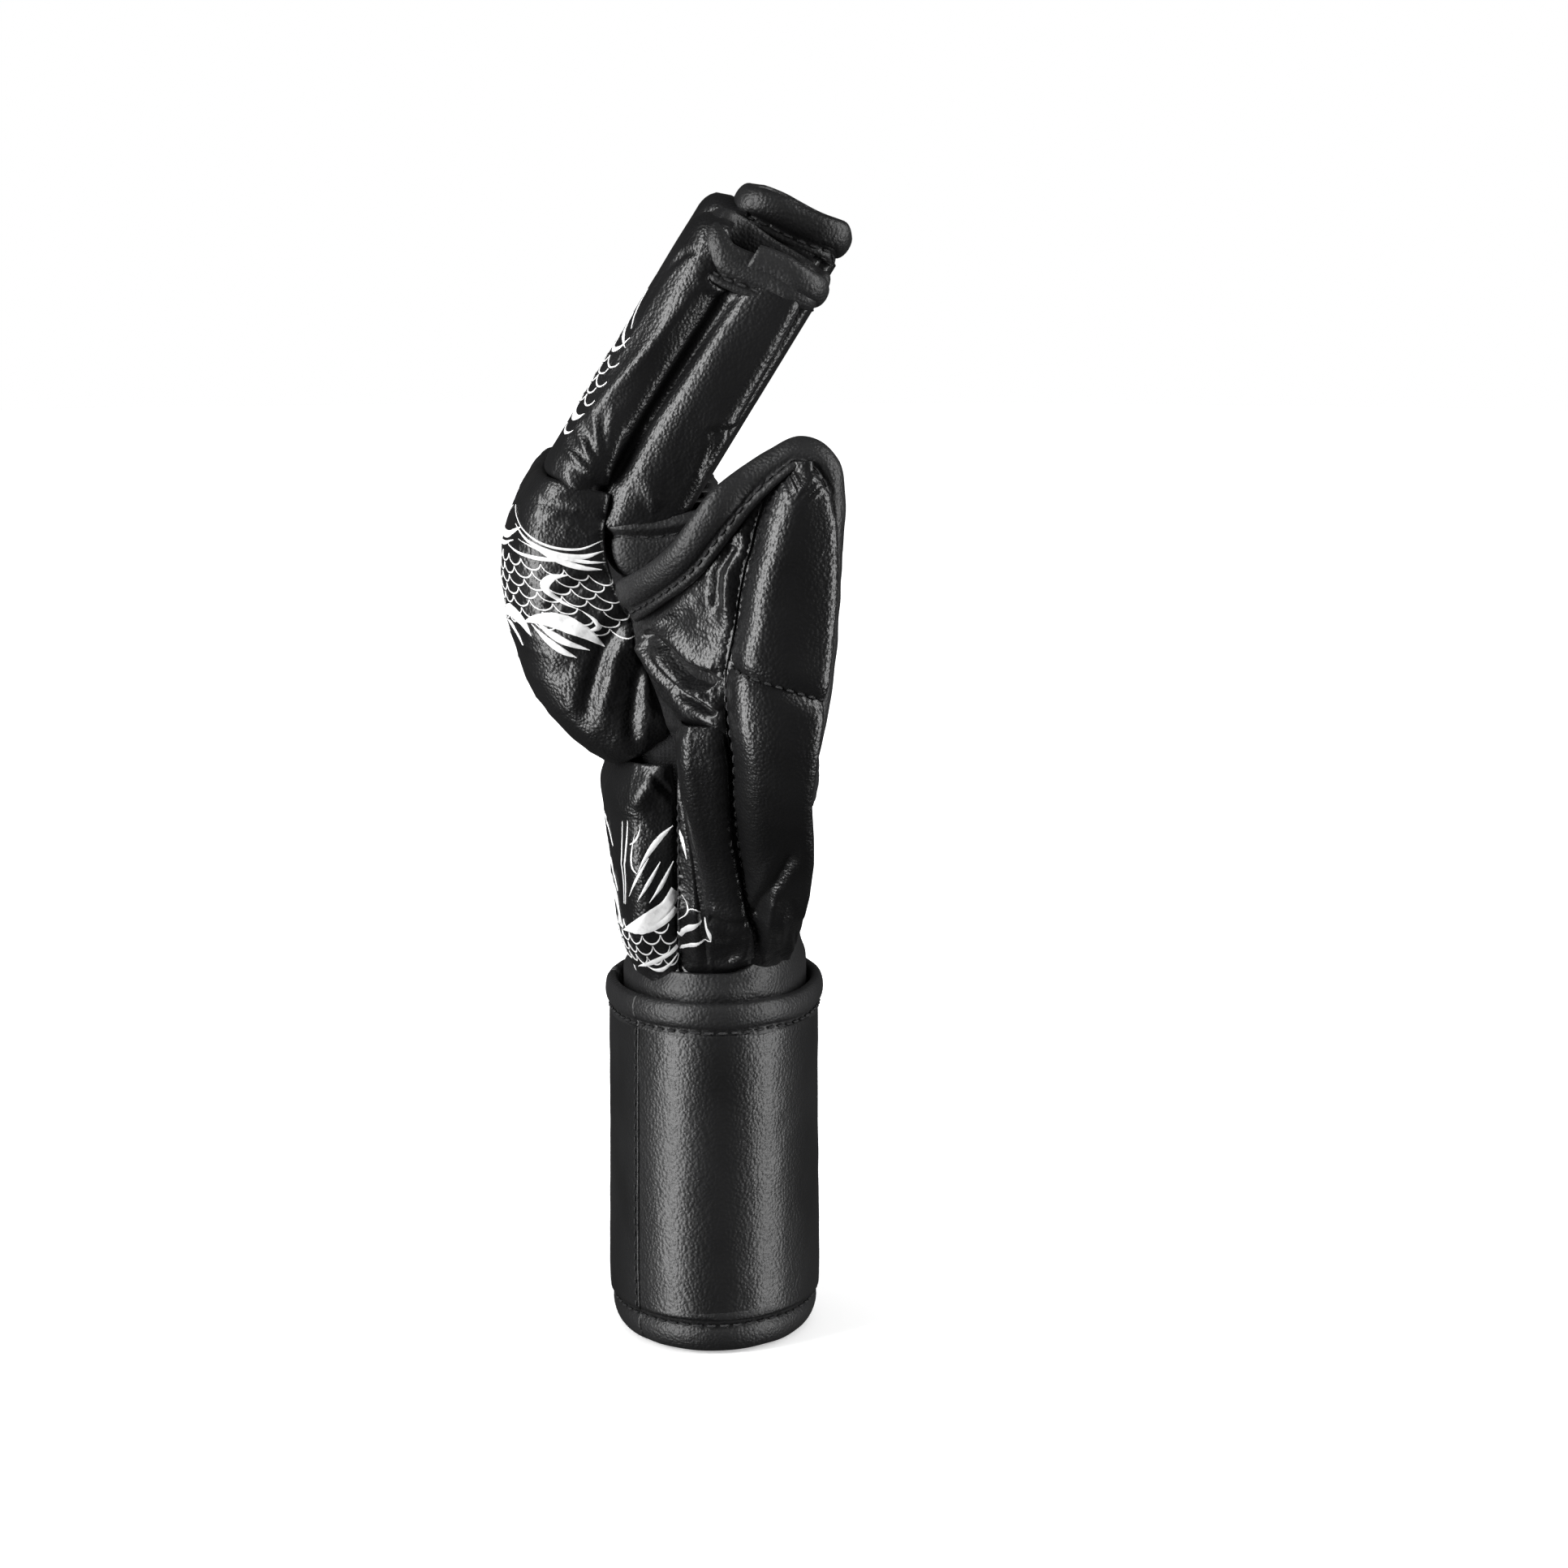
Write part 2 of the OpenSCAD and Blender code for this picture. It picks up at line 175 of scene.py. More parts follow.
def surface_normals(grid, inside, wrap=False):
    """Unit normals that point away from the point `inside`, or from the axis of points inside."""
    if wrap:
        across = np.roll(grid, -1, axis=1) - np.roll(grid, 1, axis=1)
    else:
        across = np.gradient(grid, axis=1)
    n = np.cross(np.gradient(grid, axis=0), across)
    n /= np.linalg.norm(n, axis=2, keepdims=True) + 1e-9
    if np.sum(n * (grid - inside)) < 0:
        n = -n
    return n


def edge_distance(grid, sides="lrbt"):
    """Distance of every grid point from the chosen borders: left, right, bottom, top."""
    across = np.linalg.norm(np.diff(grid, axis=1), axis=2)
    upward = np.linalg.norm(np.diff(grid, axis=0), axis=2)
    zero_col, zero_row = np.zeros((grid.shape[0], 1)), np.zeros((1, grid.shape[1]))
    from_left = np.concatenate([zero_col, np.cumsum(across, axis=1)], axis=1)
    from_bottom = np.concatenate([zero_row, np.cumsum(upward, axis=0)], axis=0)
    choices = {"l": from_left, "r": from_left[:, -1:] - from_left,
               "b": from_bottom, "t": from_bottom[-1:] - from_bottom}
    return np.min([choices[s] for s in sides], axis=0)


def pillow(distance, reach, height):
    """Rise of stuffed leather from its sewn edge to its crown."""
    t = 1 - np.clip(distance / reach, 0, 1)
    return height * np.sqrt(1 - t * t)


def dome(distance, reach, height):
    """Rise of a firm pad: steep at its seam, then rounding over to a flat crown."""
    t = 1 - np.clip(distance / reach, 0, 1)
    return height * (1 - t * t)


def puckers(x, z, path, spacing, reach, height):
    """Small gathers across a seam, strongest on the seam itself."""
    d, along = path_distance(x, z, path)
    s = along * run_lengths(np.asarray(path, float))[-1] / spacing
    wave = np.cos(2 * math.pi * (s + 0.25 * np.sin(2.3 * s)))
    return height * wave * np.exp(-(d / reach) ** 2)


# ---------------------------------------------------------------- meshes
def make_piece(name, vertices, faces, material, body):
    mesh = bpy.data.meshes.new(name)
    mesh.from_pydata((np.asarray(vertices, float) * MM).tolist(), [], faces)
    mesh.validate()
    mesh.shade_smooth()
    mesh.materials.append(material)
    piece = bpy.data.objects.new(name, mesh)
    bpy.context.scene.collection.objects.link(piece)
    if isinstance(body, str):
        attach(piece, body)
    else:
        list(body)
        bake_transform(piece)
    return piece


def grid_faces(rows, cols, wrap, first=0, flip=False):
    faces = []
    last = cols if wrap else cols - 1
    for i in range(rows - 1):
        for j in range(last):
            a, b = i * cols + j, i * cols + (j + 1) % cols
            face = [first + a, first + b, first + b + cols, first + a + cols]
            faces.append(face[::-1] if flip else face)
    return faces


def make_shell(name, outer, inner, material, body, wrap=False):
    """Closed skin between two grids of the same size."""
    rows, cols = outer.shape[:2]
    count = rows * cols
    du, dv = outer[rows // 2, 1] - outer[rows // 2, 0], outer[rows // 2 + 1, 0] - outer[rows // 2, 0]
    flip = np.dot(np.cross(du, dv), (outer - inner)[rows // 2, 0]) < 0
    faces = grid_faces(rows, cols, wrap, 0, flip) + grid_faces(rows, cols, wrap, count, not flip)
    rim = [(0, j, 0, j + 1) for j in range(cols - 1)]
    rim += [(rows - 1, j + 1, rows - 1, j) for j in range(cols - 1)]
    if wrap:
        rim += [(0, cols - 1, 0, 0), (rows - 1, 0, rows - 1, cols - 1)]
    else:
        rim += [(i + 1, 0, i, 0) for i in range(rows - 1)]
        rim += [(i, cols - 1, i + 1, cols - 1) for i in range(rows - 1)]
    for i0, j0, i1, j1 in rim:
        a, b = i0 * cols + j0, i1 * cols + j1
        face = [b, a, a + count, b + count]
        faces.append(face[::-1] if flip else face)
    vertices = np.concatenate([outer.reshape(-1, 3), inner.reshape(-1, 3)])
    return make_piece(name, vertices, faces, material, body)


def make_hide(name, grid, inside, rise, material, body, thick=1.6, wrap=False):
    """A leather skin: the grid raised by `rise` along its normals, closed by a back face."""
    normal = surface_normals(grid, inside, wrap)
    outer = grid + normal * rise[..., None]
    inner = grid - normal * thick
    return make_shell(name, outer, inner, material, body, wrap), outer


def declare_cloth(piece, grid, wrap=False):
    """Closes a sewn-in cloth's grid round when it wraps, and keeps nothing of it."""
    if wrap:
        grid = np.concatenate([grid, grid[:, :1]], axis=1)


def sweep(name, path, up, inward, profile, material, body, closed=False):
    """Carries a closed outline along a path. The outline's points are (inward, up) offsets."""
    profile = np.asarray(profile, float)
    grid = path[:, None] + inward[:, None] * profile[None, :, :1] + up[:, None] * profile[None, :, 1:2]
    rows, cols = grid.shape[:2]
    faces = grid_faces(rows, cols, True)
    if closed:
        faces += [[(rows - 1) * cols + j, (rows - 1) * cols + (j + 1) % cols, (j + 1) % cols, j]
                  for j in range(cols)]
    else:
        faces += [list(range(cols))[::-1], [(rows - 1) * cols + j for j in range(cols)]]
    # the outline runs either way round its path, so the faces are turned to look outward
    centre = grid[0].mean(axis=0)
    n = np.cross(grid[0, 1] - grid[0, 0], grid[1, 0] - grid[0, 0])
    if np.dot(n, grid[0, 0] - centre) < 0:
        faces = [f[::-1] for f in faces]
    return make_piece(name, grid.reshape(-1, 3), faces, material, body)


def binding_outline(roll, height, lip, under):
    """Outline of a bound edge: a padded roll, the stitched groove and a thin lip."""
    points = [(roll / 2 - roll / 2 * math.cos(a), height * math.sin(a) ** 0.8)
              for a in np.linspace(0.0, math.pi * 0.93, 12)]
    points += [(roll + 0.15, 0.28 * height), (roll + 0.7, 0.2 * height), (roll + 1.2, 0.34 * height),
               (roll + lip * 0.55, 0.42 * height), (roll + lip * 0.85, 0.3 * height), (roll + lip, 0.0)]
    points += [(roll + lip * 0.8, -under * 0.6)]
    points += [(roll / 2 + roll / 2 * math.cos(a), -under * math.sin(a) ** 0.8)
               for a in np.linspace(0.4, math.pi * 0.93, 8)]
    return points


def stitch_row(name, path, up, body, pitch=3.3, length=2.3, radius=0.36):
    """Short thread stitches along a path, each a little capsule half sunk into the seam."""
    at = run_lengths(path)
    count = max(2, int(at[-1] / pitch))
    vertices, faces = [], []
    ring = 6
    profile = ((-0.5, 0.35), (-0.36, 0.9), (0.0, 1.0), (0.36, 0.9), (0.5, 0.35))    # place, thickness
    for k in range(count):
        middle = (k + 0.5) * at[-1] / count
        stations = []
        for s, size in profile:
            d = middle + s * length
            p = np.array([np.interp(d, at, path[:, c]) for c in range(3)])
            n = np.array([np.interp(d, at, up[:, c]) for c in range(3)])
            stations.append((p + n * 0.25 * (1 - (2 * s) ** 2), n / np.linalg.norm(n), size))
        t = stations[-1][0] - stations[0][0]
        t /= np.linalg.norm(t)
        first = len(vertices)
        for p, n, size in stations:
            side = np.cross(t, n)
            for q in range(ring):
                a = 2 * math.pi * q / ring
                vertices.append(p + (side * math.cos(a) + n * math.sin(a)) * radius * size)
        faces += grid_faces(len(stations), ring, True, first, flip=True)
        faces.append([first + q for q in range(ring)])
        faces.append([first + (len(stations) - 1) * ring + q for q in range(ring)][::-1])
    return make_piece(name, vertices, faces, THREAD, body)


# ---------------------------------------------------------------- materials
def new_material(name, colour, roughness):
    material = bpy.data.materials.new(name)
    material.use_nodes = True
    shader = material.node_tree.nodes["Principled BSDF"]
    shader.inputs["Base Color"].default_value = (*colour, 1)
    shader.inputs["Roughness"].default_value = roughness
    return material, shader


def add(material, kind, **values):
    node = material.node_tree.nodes.new(kind)
    for key, value in values.items():
        if key in node.inputs:
            node.inputs[key].default_value = value
        else:
            setattr(node, key, value)
    return node


def link(material, a, b):
    material.node_tree.links.new(a, b)


def texture(material, kind, place, **values):
    """A texture node that reads its place from the given socket."""
    node = add(material, kind, **values)
    link(material, place, node.inputs["Vector"])
    return node


def ramp(material, source, low, high, place=(0.35, 0.65)):
    node = add(material, "ShaderNodeValToRGB")
    node.color_ramp.elements[0].position, node.color_ramp.elements[1].position = place
    node.color_ramp.elements[0].color = (*low, 1)
    node.color_ramp.elements[1].color = (*high, 1)
    link(material, source, node.inputs["Fac"])
    return node


def map_range(material, source, low, high):
    node = add(material, "ShaderNodeMapRange")
    node.inputs["To Min"].default_value = low
    node.inputs["To Max"].default_value = high
    link(material, source, node.inputs["Value"])
    return node


def bump_chain(material, shader, layers):
    """Adds bumps one on another: each layer is (height socket, distance in metres)."""
    last = None
    for socket, distance in layers:
        bump = add(material, "ShaderNodeBump", Strength=1.0, Distance=distance)
        link(material, socket, bump.inputs["Height"])
        if last is not None:
            link(material, last.outputs["Normal"], bump.inputs["Normal"])
        last = bump
    link(material, last.outputs["Normal"], shader.inputs["Normal"])


def leather_material(name, colour, rough, grain, depth, crease):
    """Coated leather with rounded pebbles, fine creases and slightly uneven gloss."""
    material, shader = new_material(name, colour, rough[0])
    place = add(material, "ShaderNodeTexCoord").outputs["Object"]
    warp = texture(material, "ShaderNodeTexNoise", place, Scale=260.0, Detail=2.0)
    bend = add(material, "ShaderNodeVectorMath", operation="MULTIPLY_ADD")
    bend.inputs[1].default_value = (0.0011, 0.0011, 0.0011)
    link(material, warp.outputs["Color"], bend.inputs[0])
    link(material, place, bend.inputs[2])
    pebble = texture(material, "ShaderNodeTexVoronoi", bend.outputs["Vector"], Scale=grain,
                     feature="SMOOTH_F1", Smoothness=0.45)
    cells = map_range(material, pebble.outputs["Distance"], 1.0, 0.0)
    lines = texture(material, "ShaderNodeTexNoise", place, Scale=140.0, Detail=6.0, Roughness=0.62,
                    Distortion=0.8)
    patches = texture(material, "ShaderNodeTexNoise", place, Scale=38.0, Detail=4.0)
    tone = ramp(material, patches.outputs["Fac"], [c * 0.75 for c in colour], [c * 1.35 for c in colour])
    link(material, tone.outputs["Color"], shader.inputs["Base Color"])
    gloss = map_range(material, patches.outputs["Fac"], rough[0], rough[1])
    link(material, gloss.outputs["Result"], shader.inputs["Roughness"])
    bump_chain(material, shader, [(cells.outputs["Result"], depth), (lines.outputs["Fac"], crease)])
    return material


def woven_material(name, colour, rough, scale, depth):
    """Knitted or woven cloth: two crossed waves and a fuzzy tone."""
    material, shader = new_material(name, colour, rough)
    place = add(material, "ShaderNodeTexCoord").outputs["Object"]
    heights = []
    for direction in ("X", "Z"):
        wave = texture(material, "ShaderNodeTexWave", place, Scale=scale, Distortion=1.5,
                       bands_direction=direction)
        wave.inputs["Detail Scale"].default_value = 3.0
        heights.append(wave.outputs["Fac"])
    both = add(material, "ShaderNodeMath", operation="MAXIMUM")
    link(material, heights[0], both.inputs[0])
    link(material, heights[1], both.inputs[1])
    fuzz = texture(material, "ShaderNodeTexNoise", place, Scale=900.0, Detail=3.0)
    tone = ramp(material, fuzz.outputs["Fac"], [c * 0.7 for c in colour], [c * 1.4 for c in colour])
    link(material, tone.outputs["Color"], shader.inputs["Base Color"])
    bump_chain(material, shader, [(both.outputs["Value"], depth), (fuzz.outputs["Fac"], depth * 0.6)])
    return material


LEATHER = leather_material("glossy_leather", (0.006, 0.006, 0.0063), (0.28, 0.36), 1250.0, 0.00012, 0.00016)
CUFF_LEATHER = leather_material("cuff_leather", (0.0065, 0.0065, 0.0068), (0.36, 0.43), 1250.0, 0.00011,
                                0.00009)
BINDING = leather_material("satin_binding", (0.008, 0.008, 0.0084), (0.44, 0.54), 1300.0, 0.00014, 0.00012)
LINING = woven_material("lining_knit", (0.01, 0.01, 0.011), 0.85, 320.0, 0.00008)
TAPE = woven_material("hook_loop_tape", (0.012, 0.012, 0.013), 0.9, 700.0, 0.00025)
THREAD = woven_material("thread", (0.012, 0.012, 0.013), 0.55, 1500.0, 0.0001)


def print_material():
    """Screen-printed ink, a little worn, that follows the leather's grain."""
    material, shader = new_material("printed_ink", (0.72, 0.72, 0.72), 0.42)
    place = add(material, "ShaderNodeTexCoord").outputs["Object"]
    wear = texture(material, "ShaderNodeTexNoise", place, Scale=700.0, Detail=4.0)
    tone = ramp(material, wear.outputs["Fac"], (0.6, 0.6, 0.6), (0.78, 0.78, 0.78), (0.25, 0.5))
    link(material, tone.outputs["Color"], shader.inputs["Base Color"])
    grain = texture(material, "ShaderNodeTexVoronoi", place, Scale=1150.0, feature="SMOOTH_F1",
                    Smoothness=0.45)
    bump_chain(material, shader, [(grain.outputs["Distance"], 0.00005)])
    return material


INK = print_material()


# ---------------------------------------------------------------- printed pattern
INK_STEP, INK_SPACING = 0.55, 0.7     # distance between points along and across a stroke
INK_RISE, INK_EDGE = 0.13, -0.06      # the film's middle above the skin, and its edges under it
THINNEST_STROKE = 0.05


def ink_strokes(name, outer, strokes, body, size):
    """Screen print on a skin. A stroke is a list of (across, up, half width) in millimetres on the skin.

    Each stroke is a thin film that follows the skin's own grid, with its edges just under the surface.
    """
    rows, cols = outer.shape[:2]
    normals = surface_normals(outer, outer.reshape(-1, 3).mean(axis=0))

    def sample(grid, a, b):
        u = np.clip(a / size[0], 0, 1) * (cols - 1.001)
        v = np.clip(b / size[1], 0, 1) * (rows - 1.001)
        j, i = u.astype(int), v.astype(int)
        fu, fv = (u - j)[..., None], (v - i)[..., None]
        low = grid[i, j] * (1 - fu) + grid[i, j + 1] * fu
        return low * (1 - fv) + (grid[i + 1, j] * (1 - fu) + grid[i + 1, j + 1] * fu) * fv

    vertices, faces = [], []
    for stroke in strokes:
        stroke = np.asarray(stroke, float)
        run = run_lengths(stroke[:, :2])
        steps = max(6, int(run[-1] / INK_STEP))
        line = hermite(run, stroke, np.linspace(0, run[-1], steps))
        along = np.gradient(line[:, :2], axis=0)
        along /= np.linalg.norm(along, axis=1, keepdims=True) + 1e-9
        side = np.stack([-along[:, 1], along[:, 0]], axis=1)
        half = np.clip(line[:, 2], THINNEST_STROKE, None)
        across = max(3, int(2 * half.max() / INK_SPACING) + 2)
        offset = np.linspace(-1, 1, across)
        a = line[:, :1] + side[:, :1] * half[:, None] * offset
        b = line[:, 1:2] + side[:, 1:2] * half[:, None] * offset
        lift = np.where(np.abs(offset) > 0.99, INK_EDGE, INK_RISE)
        grid = sample(outer, a, b) + sample(normals, a, b) * lift[None, :, None]
        faces += grid_faces(steps, across, False, sum(len(v) for v in vertices), flip=True)
        vertices.append(grid.reshape(-1, 3))
    make_piece(name, np.concatenate(vertices), faces, INK, body)


def scallops(left, right, low, high, radius, line, skip, seed):
    """Rows of overlapping arcs, like roof tiles. `skip` is the share of arcs left out, picked by the seed."""
    strokes = []
    row, b = 0, low
    while b < high:
        a = left + (radius if row % 2 else 0)
        while a < right:
            if (math.sin(a * 12.9 + b * 78.2 + seed) * 43758.5) % 1 >= skip:
                turn = np.radians(np.linspace(188, 352, 9))
                width = line * (0.7 + 0.6 * np.sin(np.linspace(0, math.pi, 9)))
                strokes.append([(a + radius * math.cos(t), b + radius * 0.92 * math.sin(t), w)
                                for t, w in zip(turn, width)])
            a += 2 * radius
        b += radius * 0.95
        row += 1
    return strokes


def brush(start_a, start_b, middle_a, middle_b, end_a, end_b, width, tail=0.15):
    """One brush stroke through three places: a tapered start, a full belly and a pointed end."""
    start, middle, end = np.array([(start_a, start_b), (middle_a, middle_b), (end_a, end_b)], float)
    bow = (middle - (start + end) / 2) * 0.25
    keys = (start, (start + middle) / 2 + bow, middle, (end + middle) / 2 + bow, end)
    widths = (tail, width * 0.8, width, width * 0.6, 0.06)
    return [(a, b, w) for (a, b), w in zip(keys, widths)]


def mirrored(strokes, total):
    """The strokes and their mirror images, on a skin of the given width."""
    return strokes + [[(total - a, b, w) for a, b, w in stroke] for stroke in strokes]


# Brush strokes: start, middle and end as (across, up), the belly's half width and, where given, the tail's.
# Those of the knuckles, wrist and finger are one half of the print, which is mirrored.
KNUCKLE_STROKES = (
    (0.5, 78, 16, 71, 34, 79, 0.6), (0.5, 74.5, 14, 69, 30, 74, 1.1), (0.5, 70.5, 12, 68.5, 27, 70, 0.9),
    (2, 67.5, 13, 67, 24, 71.5, 1.3), (6, 71, 20, 66, 36, 67.5, 0.8), (26, 74, 44, 69, 66, 76, 1.4),
    (30, 69, 48, 66, 72, 70, 1.0), (40, 78, 55, 73, 74, 80, 0.8), (12, 63, 20, 57, 12, 51, 1.5),
    (12, 51, 9, 46, 15, 44, 1.0), (9, 39, 18, 46, 30, 44, 3.2), (13, 37.5, 21, 41, 25, 46, 1.5),
    (17, 34.5, 22, 38, 27, 44, 1.5), (28, 40, 36, 46, 50, 42, 2.6), (33, 36, 38, 41, 46, 42, 1.3),
    (46, 38, 58, 45, 74, 40, 2.4), (54, 34, 62, 38, 72, 36, 1.2))
WRIST_STROKES = (
    (0.3, 12.0, 12, 7.5, 26, 4.5, 0.8, 0.8), (0.3, 19, 10, 15, 24, 12, 0.9, 0.9),
    (0.3, 17, 8, 12.5, 15, 14, 0.7), (0.3, 34, 9, 27, 24, 22.5, 2.5, 2.2),
    (0.3, 29.5, 8, 25, 20, 23, 1.3, 1.2), (1, 42, 5, 36, 9, 31.5, 0.8), (5, 42, 9, 36.5, 13, 31.5, 0.7),
    (8.5, 43, 12.5, 37.5, 16.5, 32.5, 0.6), (1, 51, 7, 46, 12, 39, 1.0), (12, 39, 14, 42, 12.5, 49, 0.5),
    (15, 52, 17, 42, 19.5, 30, 0.55), (17.5, 51.5, 19.5, 40, 20.5, 30, 0.4),
    (14.5, 46, 11.8, 48, 10.5, 52, 0.4), (24, 23, 40, 33, 62, 28, 2.6), (28, 32, 44, 41, 63, 37, 1.6),
    (26, 44, 40, 50, 56, 45, 0.9), (30, 12, 46, 7, 63, 10, 1.0, 0.6))
STRIP_STROKES = (
    (0.2, 21.5, 2.5, 23.5, 6.6, 26.5, 1.0, 1.2), (0.2, 17.5, 3, 18.5, 7.0, 20.5, 0.7, 0.8),
    (6.0, 27, 6.6, 23, 7.0, 20.5, 0.7, 0.5), (0.3, 26, 2.4, 29, 1.0, 33, 0.3),
    (2.4, 29, 4.2, 29.5, 5.6, 27, 0.28), (0.4, 50, 1.4, 47, 2.4, 42.5, 0.7, 0.5),
    (0.4, 12, 1.5, 10.5, 2.5, 10.0, 0.35))
FINGER_STROKES = (
    (0.4, 40, 4, 35, 8.5, 33, 0.7), (0.4, 34, 4, 31, 8.0, 35.5, 0.8), (1, 46, 3, 41, 6, 37, 0.6),
    (0.6, 17, 4.5, 14, 8.5, 16, 1.1), (2, 12, 5, 10, 8, 11.5, 0.6))


def brushed(rows):
    return [brush(*row) for row in rows]


def print_knuckles():
    size = (150.0, 92.0)
    side = scallops(3.0, 75, 46, 66, 3.3, 0.27, 0.12, 1) + brushed(KNUCKLE_STROKES)
    ink_strokes("knuckle_print", knuckle_outer, mirrored(side, size[0]), "hand", size)


def print_wrist():
    size = (128.0, 66.0)
    side = scallops(3, 64, 17, 29, 3.2, 0.27, 0.1, 2) + brushed(WRIST_STROKES)
    ink_strokes("wrist_print", wrist_outer, mirrored(side, size[0]), "hand", size)
    ink_strokes("strip_print", gusset_outer, brushed(STRIP_STROKES), "hand", (15.5, 78.5))


def print_finger(name, outer, blend):
    size = (114.0, 68.0)
    side = scallops(1.5, 7.6, 20, 30, 2.6, 0.25, 0.0, 3) + brushed(FINGER_STROKES)
    closed = np.concatenate([outer, outer[:, :1]], axis=1)
    ink_strokes(f"{name}_print", closed, mirrored(side, size[0]), blend, size)


# ---------------------------------------------------------------- finger sleeves
PALMWARD = np.array([math.cos(LEAN), 0, -math.sin(LEAN)])   # a finger's X: from its back to its palm side
TIPWARD = np.array([math.sin(LEAN), 0, math.cos(LEAN)])     # a finger's Z: towards its tip
# Half of a finger's section, from the back to the palm side: (X, half width)
HALF_SECTION = (
    (-28.6, 0), (-28.2, 3.2), (-26.9, 5.9), (-24.9, 8.5), (-22.7, 10.5), (-20.7, 11.4), (-18.4, 11.7),
    (-16, 11.0), (-14, 9.5), (-12.7, 8.2), (-12.0, 7.9), (-11.2, 8.4), (-9.5, 9.8), (-7.5, 10.9),
    (-5, 11.7), (-2.5, 12.0), (2, 12.0), (5.8, 11.5), (8.0, 10.2), (9.1, 7.6), (9.4, 4.0), (9.4, 0))
HALF_HOLE = ((-9.6, 0), (-9.6, 6), (-8, 8.4), (-4, 9), (3, 9), (6, 8.2), (7.4, 5), (7.4, 0))
TIP_BACK = 21.3              # how far behind the finger's middle the tip binding is highest
BAND_HEIGHT = 10.5
MOUTH_POINTS = 96
BEND_X, BEND_Z = -8.0, (1.0, 25.0)    # two places on a finger, in its own X and Z, passed along with its skins
FOOT_TOP, FOOT_HEIGHT = 208.6, 15.5   # bound foot of a sleeve
FOOT_X, FOOT_STITCHES = -12.5, 4.4    # its middle, and how far below its top the stitches run

Finger = namedtuple("Finger", "name y reach seed blend")


def finger_to_hand(points, y):
    """Finger coordinates to the glove's: X and Z lean with the finger, and y is its middle line."""
    base = np.array([KNUCKLE_X, y, KNUCKLE_Z])
    return (base + points[..., :1] * PALMWARD + points[..., 1:2] * np.array([0, 1, 0])
            + points[..., 2:3] * TIPWARD)


def measure_finger(name):
    """A finger's middle line, reach from the knuckle and bend, from the frame."""
    low, high = box_mm(f"{name}_sleeve")
    y = (low[1] + high[1]) / 2
    tip_z = box_mm(f"{name}_tip_binding")[1][2]
    reach = (tip_z - KNUCKLE_Z) / math.cos(LEAN) - TIP_BACK * math.tan(LEAN)
    ends = [tuple(finger_to_hand(np.array([BEND_X, 0, z]), y) * MM) for z in BEND_Z]
    # A finger's middle line and reach from the knuckle, from the frame, and two places on it.
    return Finger(name, y, reach, 3 + FINGERS.index(name), ("hand", name, *ends))


def ring_from_half(half, count):
    """Closed outline with the thumb side first, evenly spaced along each half."""
    half = np.asarray(half, float)
    chord = run_lengths(half)
    curve = hermite(chord, half, np.linspace(0, chord[-1], 400))
    row = resample(np.column_stack([curve[:, 0], curve[:, 1], np.zeros(400)]), count // 2 + 1)
    near = np.column_stack([row[:, 0], -row[:, 1]])
    return np.concatenate([near, near[-2:0:-1] * [1, -1]])


def finger_sides_rise(x, z, reach):
    """Seams, padded ridges and creases on the side of a finger, in its own X and Z."""
    top = reach - BAND_HEIGHT
    rise = folded(0.0, x, z, (
        (furrow, [(-27.3, 24), (-27.7, 42), (-27.3, top - 9), (-25.5, top - 3), (-22, top)], 0.7, 0.6),
        (ridge, [(-27.2, 9), (-24.3, 19), (-20.6, 38), (-18.2, top - 8)], 1.9, 0.9),
        (furrow, [(-17.5, top - 4.5), (-13, top - 3), (-10, top - 3)], 1.0, 0.8),
        (ridge, [(-17.5, top - 7), (-11, top - 4.6)], 1.1, 0.9),
        (furrow, [(-9.9, top - 1), (-11.6, 41), (-12.6, 24), (-11.8, 8)], 1.3, 0.5),
        (ridge, [(-6.4, top - 2), (-6.8, 45), (-7.6, 25), (-6.3, 9.7), (-4.7, -3)], 4.0, 0.6),
        (ridge, [(-4.5, 11), (-2.0, 8), (1.5, 6.5)], 2.0, 0.8),
        (furrow, [(1.5, 27), (5, 30.5), (8, 31)], 1.1, 0.6),
        (furrow, [(3.5, 29), (4.6, 24), (6.5, 18)], 1.2, 0.4)))
    fan = ((-27.5, 7), (-26.5, 12.5), (-24.0, 17.5), (-20.5, 20.5), (-17, 19))
    return folded(rise, x, z, [(ridge, [(-13.5, 5), end], 1.0, 1.0) for end in fan])


